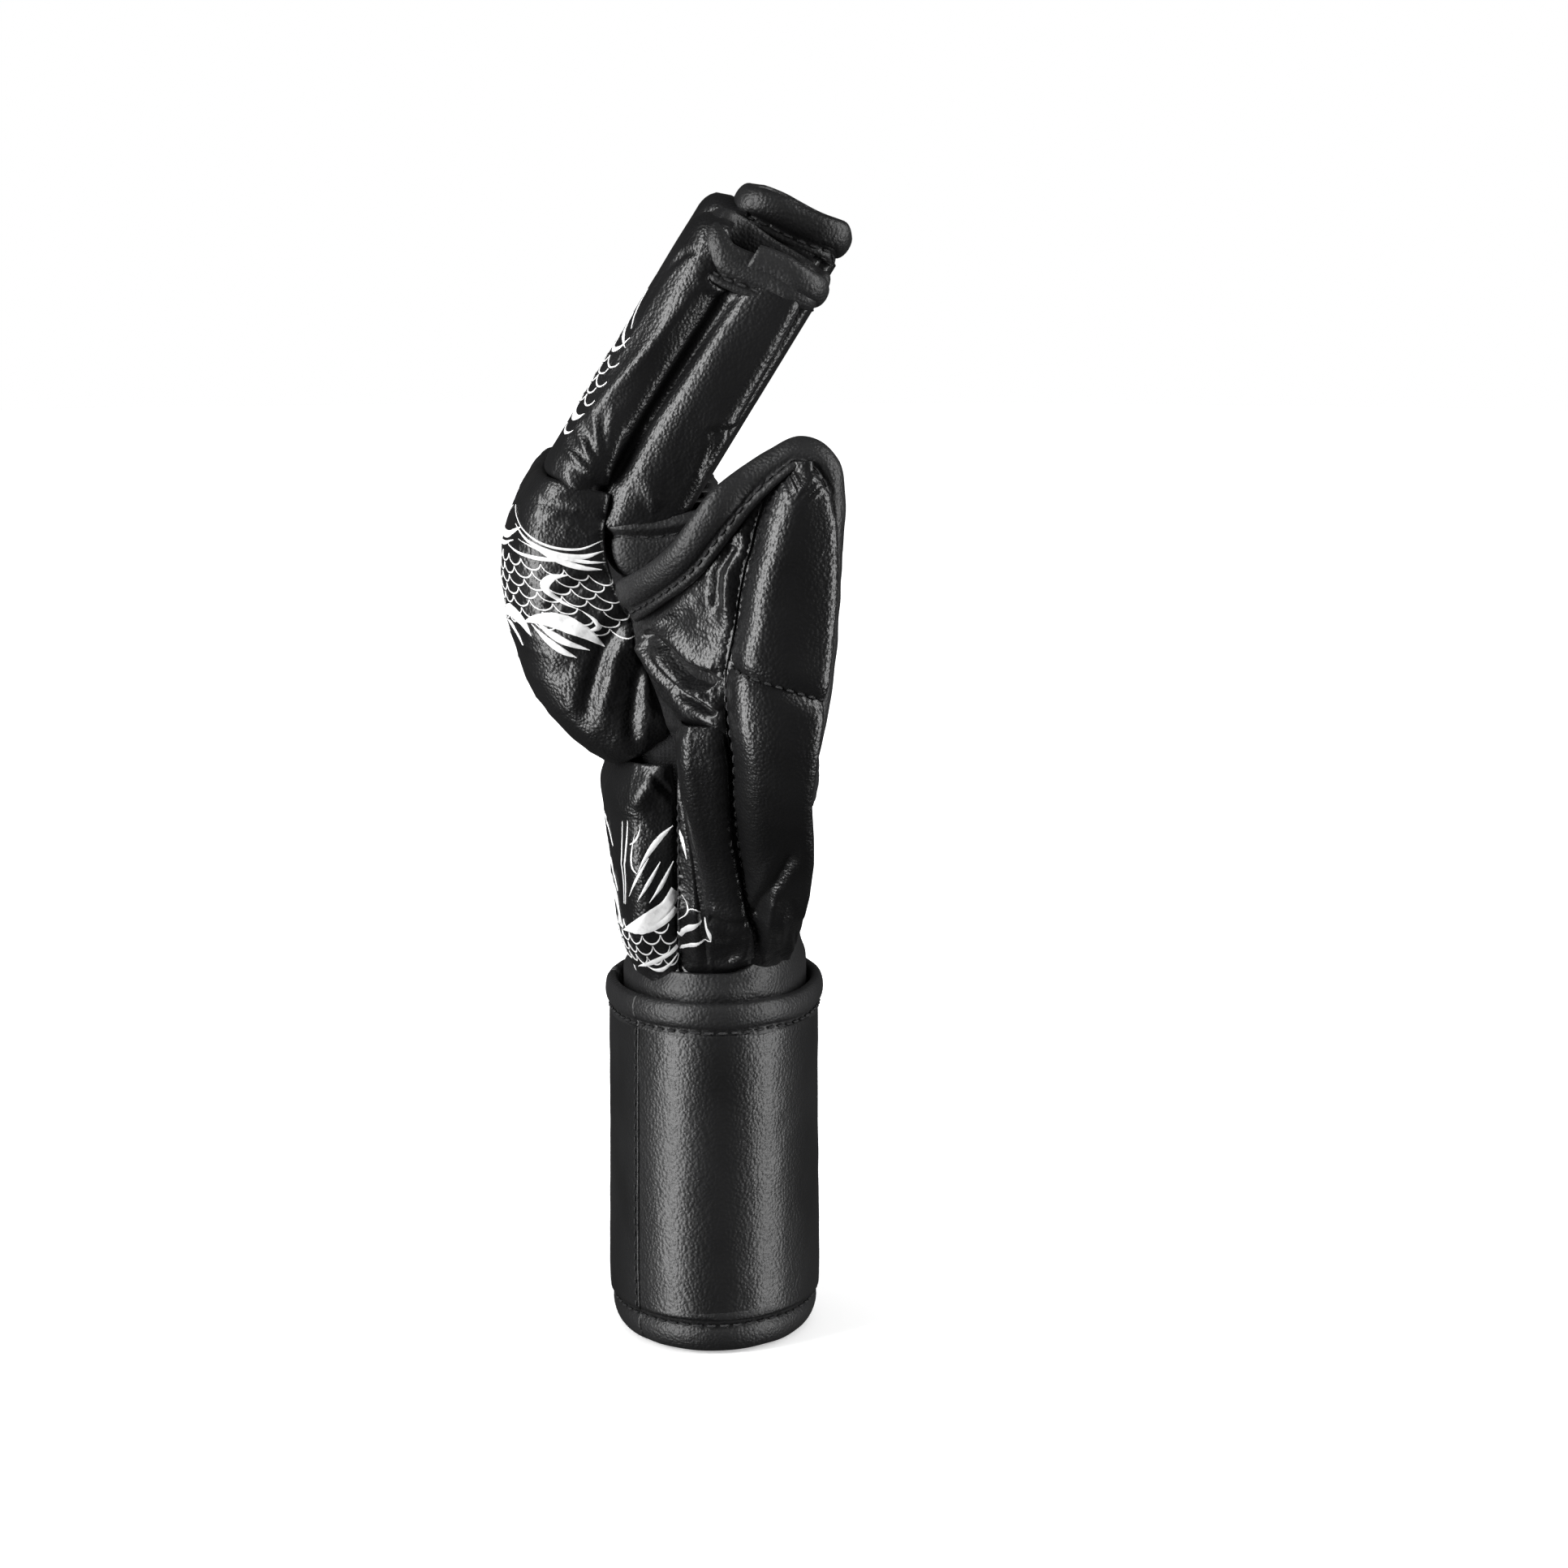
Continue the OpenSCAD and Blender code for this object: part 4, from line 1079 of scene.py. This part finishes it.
def seam_stitches(name, outer, rows, column, body, offset=-0.1, pitch=3.3):
    """Stitches along one column of a skin's grid."""
    line = outer[rows, column]
    up = surface_normals(outer, INSIDE_THUMB)[rows, column]
    stitch_row(name, line + up * offset, up, body, pitch)


seam_stitches("thenar_seam_stitches", thenar_outer, slice(8, None), 2, "hand")
seam_stitches("thumb_seam_stitches", pad_outer, slice(4, 140), 2, THUMB_BLEND, pitch=2.6)
seam_stitches("wrist_seam_stitches", gusset_outer, slice(10, 124), 2, "hand", pitch=3.0)
crease_line = thenar_outer[-3, 4:]
crease_up = surface_normals(thenar_outer, INSIDE_THUMB)[-3, 4:]
stitch_row("bending_seam_stitches", crease_line + crease_up * 0.2, crease_up, "hand", 2.6, 1.7)
print_knuckles()
print_wrist()


# ---------------------------------------------------------------- palm side and little-finger side
def make_palm():
    stations = ((4, 84, 17.6, 84, 24.5, 24.5), (5, 95, 19.4, 95, 28, 28), (13, 112, 22.2, 112, 42, 34.8),
                (17, 128, 23.4, 128, 52, 37.6), (19, 138, 24.2, 139, 59.5, 39.2),
                (19.5, 141, 24.4, 142.5, 61.5, 40))
    grid = arch_surface(stations, 90, 160)
    rise = 0.5 * ripple(grid, 15, 61) + 0.1 * sharp_ripple(grid, 7, 62, (1, 1, 1.6)) - 0.4
    inside = np.array([0, 0, 115.0])
    panel, outer = make_hide("palm_panel_hide", grid, inside, rise, LEATHER, "hand", thick=1.8)
    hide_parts("palm_panel")
    edge = resample(outer[-1, 4:-4], 160)
    up = unit(np.cross(np.gradient(edge, axis=0), [0, 0, 1.0]))
    up *= np.where(up[:, 0] < 0, -1.0, 1.0)[:, None]
    top = edge + [0, 0, 3.4]
    down = np.tile([0, 0, -1.0], (len(edge), 1))
    outline = binding_outline(5.2, 2.2, 2.6, 2.0)
    band = sweep("palm_edge_band", top, up, down, outline, BINDING, "hand")
    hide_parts("palm_binding")
    stitch_row("palm_edge_stitches", top + down * 5.7 + up * 0.6, up, "hand")


def make_little_side():
    heights = np.linspace(HAND_FOOT, 190, 110)
    keys = [84, 93, 120, 143, 166, 190]
    x0 = np.interp(heights, keys, [-6, -6.5, -7.5, -8.2, -12, -21])
    x1 = np.interp(heights, keys, [8, 8, 10, 15, 11, -3])
    face = np.interp(heights, keys, [31.2, 32.4, 36.8, 41.4, 45.6, 46.6])
    t = np.linspace(0, 1, 70)
    x = x0[:, None] + (x1 - x0)[:, None] * t
    y = face[:, None] - 1.2 * t**2 + 1.4 * np.sin(math.pi * t)
    grid = np.stack([x, y, heights[:, None] + 0 * x], axis=2)
    rise = pillow(edge_distance(grid, "lrt"), 3.5, 1.6) - 1.4 + 0.5 * ripple(grid, 11, 71)
    rise += 0.4 * sharp_ripple(grid, 5, 72, (0.9, 1, 1.5))
    rise += furrow(x, grid[..., 2], [(0, 86), (0.5, 120), (1.5, 150), (-4, 186)], 1.2, 1.2)
    piece, _ = make_hide("little_side_gusset", grid, np.array([0, 0, 130.0]), rise, LEATHER, "hand")
    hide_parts("ulnar_gusset")


make_palm()
make_little_side()


def make_back_lining():
    stations = ((-4, 92.5, -16.0, 92.5, 23, 23), (-4.5, 101, -18.2, 101, 27.5, 27.5),
                (-5, 118, -19.8, 118, 33.8, 33.8), (-7, 143, -20.3, 143, 38.8, 38.8),
                (-8.5, 153, -22.3, 154.5, 41.3, 41.3),
                (-12.5, 166, -25.3, 169, 43.2, 43.2), (-23, 183, -30.8, 187, 43.2, 43.2),
                (-31, 197, -33.8, 201, 43.2, 43.2), (-30.8, 214.4, -32.3, 215.4, 43.2, 43.2))
    grid = arch_surface(stations, 90, 120)
    rise = 0.3 * ripple(grid, 12, 81)
    lining, _ = make_hide("back_lining_cloth", grid, np.array([0, 0, 150.0]), rise, LINING, "hand",
                          1.4)
    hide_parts("back_lining")
    declare_cloth(lining, grid)


def make_thumb_loop():
    """The band that closes round the inside of the thumb."""
    low, high = box_mm("thumb_loop")
    z = np.linspace(low[2], high[2], 40)[:, None]
    a = np.radians(np.linspace(8, 172, 70))
    waist = 0.8 * np.sin(math.pi * (z - low[2]) / (high[2] - low[2]))
    half_width, depth = 16, 15
    mid_x, mid_y = (low[0] + high[0]) / 2, high[1] - depth
    x, y = mid_x + (half_width - waist) * np.cos(a), mid_y + (depth - waist) * np.sin(a)
    grid = np.stack([x, y, z + 0 * a], axis=2)
    rise = pillow(edge_distance(grid, "bt"), 1.5, 0.5) - 0.5 + 0.15 * ripple(grid, 7, 82)
    loop, _ = make_hide("thumb_loop_cloth", grid, np.array([mid_x, mid_y, 190.0]), rise, LINING, "thumb",
                        0.9)
    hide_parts("thumb_loop")
    declare_cloth(loop, grid)


make_back_lining()
make_thumb_loop()


# ---------------------------------------------------------------- cuff
SEAM_ANGLE = -135.0      # stitched seam between the strap and its tail
TAIL_END = -183.0
CUFF_START = 172.0       # the anchor's free end, under the tail
# Edge of the cuff: the way from it into the leather (outward and upward parts), its roll and its lip
TOP_EDGE = ((0.0, -1.0), 6.6, 3.2)
BOTTOM_EDGE = ((0.3, 0.954), 7.0, 4.6)
STRAP_FOLD_X, STRAP_FOLD_Z = 26.0, 45.0     # the fold that the strap opens about, at mid height
STRAP_BLEND = ("hand", "strap", (STRAP_FOLD_X * MM, 1.0 * MM, STRAP_FOLD_Z * MM),
               (STRAP_FOLD_X * MM, -10.0 * MM, STRAP_FOLD_Z * MM))


def cuff_point(angle, z, depth):
    """Place on the cuff's oval: degrees from the palm side, depth inward from the binding's crown."""
    a = np.radians(angle)
    return np.stack([(CUFF_A - depth) * np.cos(a), (CUFF_B - depth) * np.sin(a), z + 0 * a], axis=-1)


def cuff_angles(first, last, count):
    """Angles evenly spaced along the cuff's outline."""
    fine = np.linspace(first, last, 1500)
    run = run_lengths(cuff_point(fine, 0.0, 0.0))
    return np.interp(np.linspace(0, run[-1], count), run, fine)


def cuff_grid(first, last, low, high, depth, rows, cols):
    angle = cuff_angles(first, last, cols)
    z = np.linspace(low, high, rows)
    return cuff_point(angle[None, :] + 0 * z[:, None], z[:, None] + 0 * angle, depth)


CUFF_INSIDE = np.array([0, 0, STRAP_FOLD_Z])
SKIN_LOW, SKIN_HIGH = 8.5, 81.0      # the cuff's leather between its bound edges


def cuff_skin(name, first, last, depth, body, seed, cols):
    grid = cuff_grid(first, last, SKIN_LOW, SKIN_HIGH, depth, 84, cols)
    rise = 0.45 * ripple(grid, 26, seed, (1, 1, 1.8)) + 0.10 * ripple(grid, 6, seed + 1)
    rise += 0.25 * pillow(edge_distance(grid, "bt"), 10, 1.0)
    return make_hide(name, grid, CUFF_INSIDE, rise, CUFF_LEATHER, body, 1.3)


def cuff_edge(name, first, last, z, depth, shape, body, seed):
    """Bound edge of the cuff at height z, of the shape TOP_EDGE or BOTTOM_EDGE."""
    away, roll, lip = shape
    angle = cuff_angles(first, last, max(30, int(abs(last - first) * 0.9)))
    wave = np.array([noise.noise(Vector((a * 0.05, seed, 0.5))) for a in angle])
    path = cuff_point(angle, z, depth)
    path[:, 2] += 0.35 * wave
    turn = np.radians(angle)
    out = unit(np.stack([np.cos(turn) / CUFF_A, np.sin(turn) / CUFF_B, 0 * turn], axis=1))
    path += out * (0.2 * wave[:, None])
    inward = away[0] * out + [0, 0, away[1]]
    out = abs(away[1]) * out - [0, 0, away[0]]
    piece = sweep(name, path, out, inward, binding_outline(roll, 2.0, lip, 1.6), BINDING, body)
    stitch_row(name + "_stitches", path + inward * (roll + 0.7) + out * 0.75, out, body)
    return piece


def make_cuff():
    skin, outer = cuff_skin("strap_hide", CUFF_START, SEAM_ANGLE - 1.5, 0.4, STRAP_BLEND, 91, 260)
    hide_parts("anchor_panel", "strap_panel")
    top = cuff_edge("cuff_top_band", CUFF_START, SEAM_ANGLE, CUFF_TOP - 0.1, 1.1, TOP_EDGE, STRAP_BLEND, 1.0)
    bottom = cuff_edge("cuff_bottom_band", CUFF_START, SEAM_ANGLE, 0.15, 4.0, BOTTOM_EDGE, STRAP_BLEND, 2.0)
    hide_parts("anchor_top_binding", "strap_top_binding")
    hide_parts("anchor_bottom_binding", "strap_bottom_binding")
    # the tail of the strap lies a little proud past its seam
    bend = [tuple(cuff_point(angle, STRAP_FOLD_Z, 2.0) * MM) for angle in (SEAM_ANGLE - 0.5, SEAM_ANGLE - 9)]
    tail_blend = ("strap", "strap_tail", *bend)
    tail, tail_outer = cuff_skin("tail_hide", SEAM_ANGLE + 1.0, TAIL_END, -0.1, tail_blend, 93, 90)
    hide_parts("tail_panel")
    top = cuff_edge("tail_top_band", SEAM_ANGLE + 0.6, TAIL_END, CUFF_TOP, 0.8, TOP_EDGE, tail_blend, 3.0)
    bottom = cuff_edge("tail_bottom_band", SEAM_ANGLE + 0.6, TAIL_END, 0.1, 3.7, BOTTOM_EDGE, tail_blend, 4.0)
    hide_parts("tail_top_binding")
    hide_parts("tail_bottom_binding")
    line = tail_outer[:, 3]
    up = cuff_point(np.full(len(line), SEAM_ANGLE), 0.0, 0.0) / 30.0
    stitch_row("tail_seam_stitches", line, up, "strap", 3.0, 2.0, 0.3)


def make_tapes():
    """Cloth and hook-and-loop tape inside the strap and on the wrist."""
    grid = cuff_grid(-6, -133.6, 6, 83, 2.9, 30, 90)
    lining, _ = make_hide("strap_lining_cloth", grid, CUFF_INSIDE, -0.2 + 0.1 * ripple(grid, 8, 95), LINING,
                          "strap", 0.5)
    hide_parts("strap_lining")
    declare_cloth(lining, grid)
    grid = cuff_grid(-148, -181, 24, 66, 2.7, 30, 40)
    hooks, _ = make_hide("hook_tape_strip", grid, CUFF_INSIDE, 0.1 * ripple(grid, 3, 96), TAPE, "strap_tail",
                         0.45)
    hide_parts("hook_tape")
    grid = cuff_grid(150, 215, 22, 68, 4.2, 30, 70)
    loops, _ = make_hide("loop_tape_strip", grid, CUFF_INSIDE, 0.15 * ripple(grid, 3, 97), TAPE, "hand",
                         0.6)
    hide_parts("loop_tape")


def make_sleeve():
    """The knitted sleeve inside the cuff and its soft collar."""
    angle = np.linspace(-180, 180, 150, endpoint=False)
    z = np.linspace(0.6, 88.5, 40)[:, None]
    grid = cuff_point(angle + 0 * z, z + 0 * angle, 5.5)
    rise = 0.2 * ripple(grid, 10, 98) - 0.2
    sleeve, _ = make_hide("wrist_sleeve_knit", grid, CUFF_INSIDE, rise, LINING, "hand", 1.4,
                          wrap=True)
    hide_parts("wrist_sleeve")
    declare_cloth(sleeve, grid, wrap=True)
    t = np.linspace(0, 1, 22)[:, None]
    palmward = smooth_step(np.cos(np.radians(angle)), 0.2, 0.75)
    collar_low, collar_high = 84.5, 95.2 + 4.5 * palmward
    z = collar_low + (collar_high - collar_low) * t
    grid = cuff_point(angle + 0 * z, z, 3.4 + 1.6 * smooth_step(t, 0.55, 1.0) + 0 * angle)
    rise = 0.3 * ripple(grid, 7, 99)
    collar, _ = make_hide("sleeve_collar_band", grid, CUFF_INSIDE, rise, BINDING, "hand", 2.2,
                          wrap=True)
    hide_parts("sleeve_collar")


make_cuff()
make_tapes()
make_sleeve()


# ---------------------------------------------------------------- camera, light and floor
# The stage is in metres, with the glove's cuff at the origin.
CAMERA_PLACE, CAMERA_TARGET = (0.0175, -1.0, 0.310), (0.0175, 0, 0.137)
CAMERA_LENS, SENSOR_WIDTH = 92.95, 36.0
GLOVE_MIDDLE = (0, 0, 0.15)
STAGE_RADIUS = 3.0
FLOOR_DROP = 0.0006          # the floor lies this far below the cuff
PAINTED_SHADOW_GLOW, GLOW_AWAY = (0.08, 0.42), (0.4, 0.95)     # distance from the cuff's middle, floor's glow; the dimmer glow near the foot is a painted contact shadow


def put_in_scene(thing, name, location=(0, 0, 0), target=None):
    """Links camera, light or mesh data as an object, turned to look at the target."""
    item = bpy.data.objects.new(name, thing)
    item.location = location
    if target is not None:
        item.rotation_euler = (Vector(target) - item.location).to_track_quat("-Z", "Y").to_euler()
    bpy.context.scene.collection.objects.link(item)
    return item


def make_camera():
    data = bpy.data.cameras.new("camera")
    data.lens, data.sensor_width = CAMERA_LENS, SENSOR_WIDTH
    bpy.context.scene.camera = put_in_scene(data, "camera", CAMERA_PLACE, CAMERA_TARGET)
    bpy.context.scene.view_settings.view_transform = "Standard"


def softbox(name, location, target, width, height, power):
    data = bpy.data.lights.new(name, "AREA")
    data.shape, data.size, data.size_y, data.energy = "RECTANGLE", width, height, power
    return put_in_scene(data, name, location, target)


def make_lights():
    softbox("left_softbox", (-1.0, -0.62, 0.30), GLOVE_MIDDLE, 0.40, 2.1, 37)
    softbox("right_softbox", (1.15, -0.30, 0.30), GLOVE_MIDDLE, 0.34, 2.1, 23)
    softbox("floor_light", (0.0, 0.6, 2.6), (0, 0.6, 0), 4.0, 4.0, 70).visible_glossy = False
    world = bpy.data.worlds.new("studio")
    world.use_nodes = True
    background = world.node_tree.nodes["Background"]
    background.inputs["Color"].default_value = (1, 1, 1, 1)
    background.inputs["Strength"].default_value = 0.035
    bpy.context.scene.world = world


def circle(radius, height, count):
    turns = np.linspace(0, 2 * math.pi, count, endpoint=False)
    return [(radius * math.cos(a), radius * math.sin(a), height) for a in turns]


def stage_piece(name, vertices, faces, material, unseen):
    """Part of the room, hidden from the listed kinds of ray."""
    mesh = bpy.data.meshes.new(name)
    mesh.from_pydata(vertices, [], faces)
    mesh.materials.append(material)
    piece = put_in_scene(mesh, name)
    for kind in unseen:
        setattr(piece, f"visible_{kind}", False)
    return mesh


def make_floor():
    """A white floor that glows less near the cuff, as a painted soft contact shadow."""
    pale, shader = new_material("pale_floor", (0.8, 0.8, 0.8), 0.8)
    shader.inputs["Specular IOR Level"].default_value = 0.1
    shader.inputs["Emission Color"].default_value = (1, 1, 1, 1)
    shader.inputs["Emission Strength"].default_value = GLOW_AWAY[1]
    place = add(pale, "ShaderNodeNewGeometry")
    reach = add(pale, "ShaderNodeVectorMath", operation="LENGTH")
    link(pale, place.outputs["Position"], reach.inputs[0])
    # the glow is dimmer near the cuff's middle: a painted contact shadow on the floor
    spread = map_range(pale, reach.outputs["Value"], PAINTED_SHADOW_GLOW[1], GLOW_AWAY[1])
    spread.interpolation_type = "SMOOTHSTEP"
    spread.inputs["From Min"].default_value = PAINTED_SHADOW_GLOW[0]
    spread.inputs["From Max"].default_value = GLOW_AWAY[0]
    link(pale, spread.outputs["Result"], shader.inputs["Emission Strength"])
    grain = add(pale, "ShaderNodeTexNoise", Scale=30.0, Detail=3.0)
    tone = ramp(pale, grain.outputs["Fac"], (0.79, 0.79, 0.79), (0.81, 0.81, 0.81))
    link(pale, tone.outputs["Color"], shader.inputs["Base Color"])
    count = 96
    stage_piece("floor", circle(STAGE_RADIUS, -FLOOR_DROP, count), [list(range(count))], pale,
                ("glossy", "diffuse", "shadow"))


def make_backdrop():
    """A white dome round the stage that only the camera sees."""
    white = bpy.data.materials.new("backdrop")
    white.use_nodes = True
    white.node_tree.nodes.clear()
    glow = add(white, "ShaderNodeEmission", Color=(1, 1, 1, 1), Strength=1.0)
    link(white, glow.outputs[0], add(white, "ShaderNodeOutputMaterial").inputs["Surface"])
    rows, count = 17, 64
    vertices = []
    for turn in np.linspace(0, math.pi / 2, rows):
        height = STAGE_RADIUS * math.sin(turn) - 0.02
        vertices += circle(STAGE_RADIUS * math.cos(0.98 * turn), height, count)
    mesh = stage_piece("backdrop", vertices, grid_faces(rows, count, True), white,
                       ("diffuse", "glossy", "transmission", "volume_scatter", "shadow"))
    mesh.shade_smooth()


make_camera()
make_lights()
make_floor()
make_backdrop()
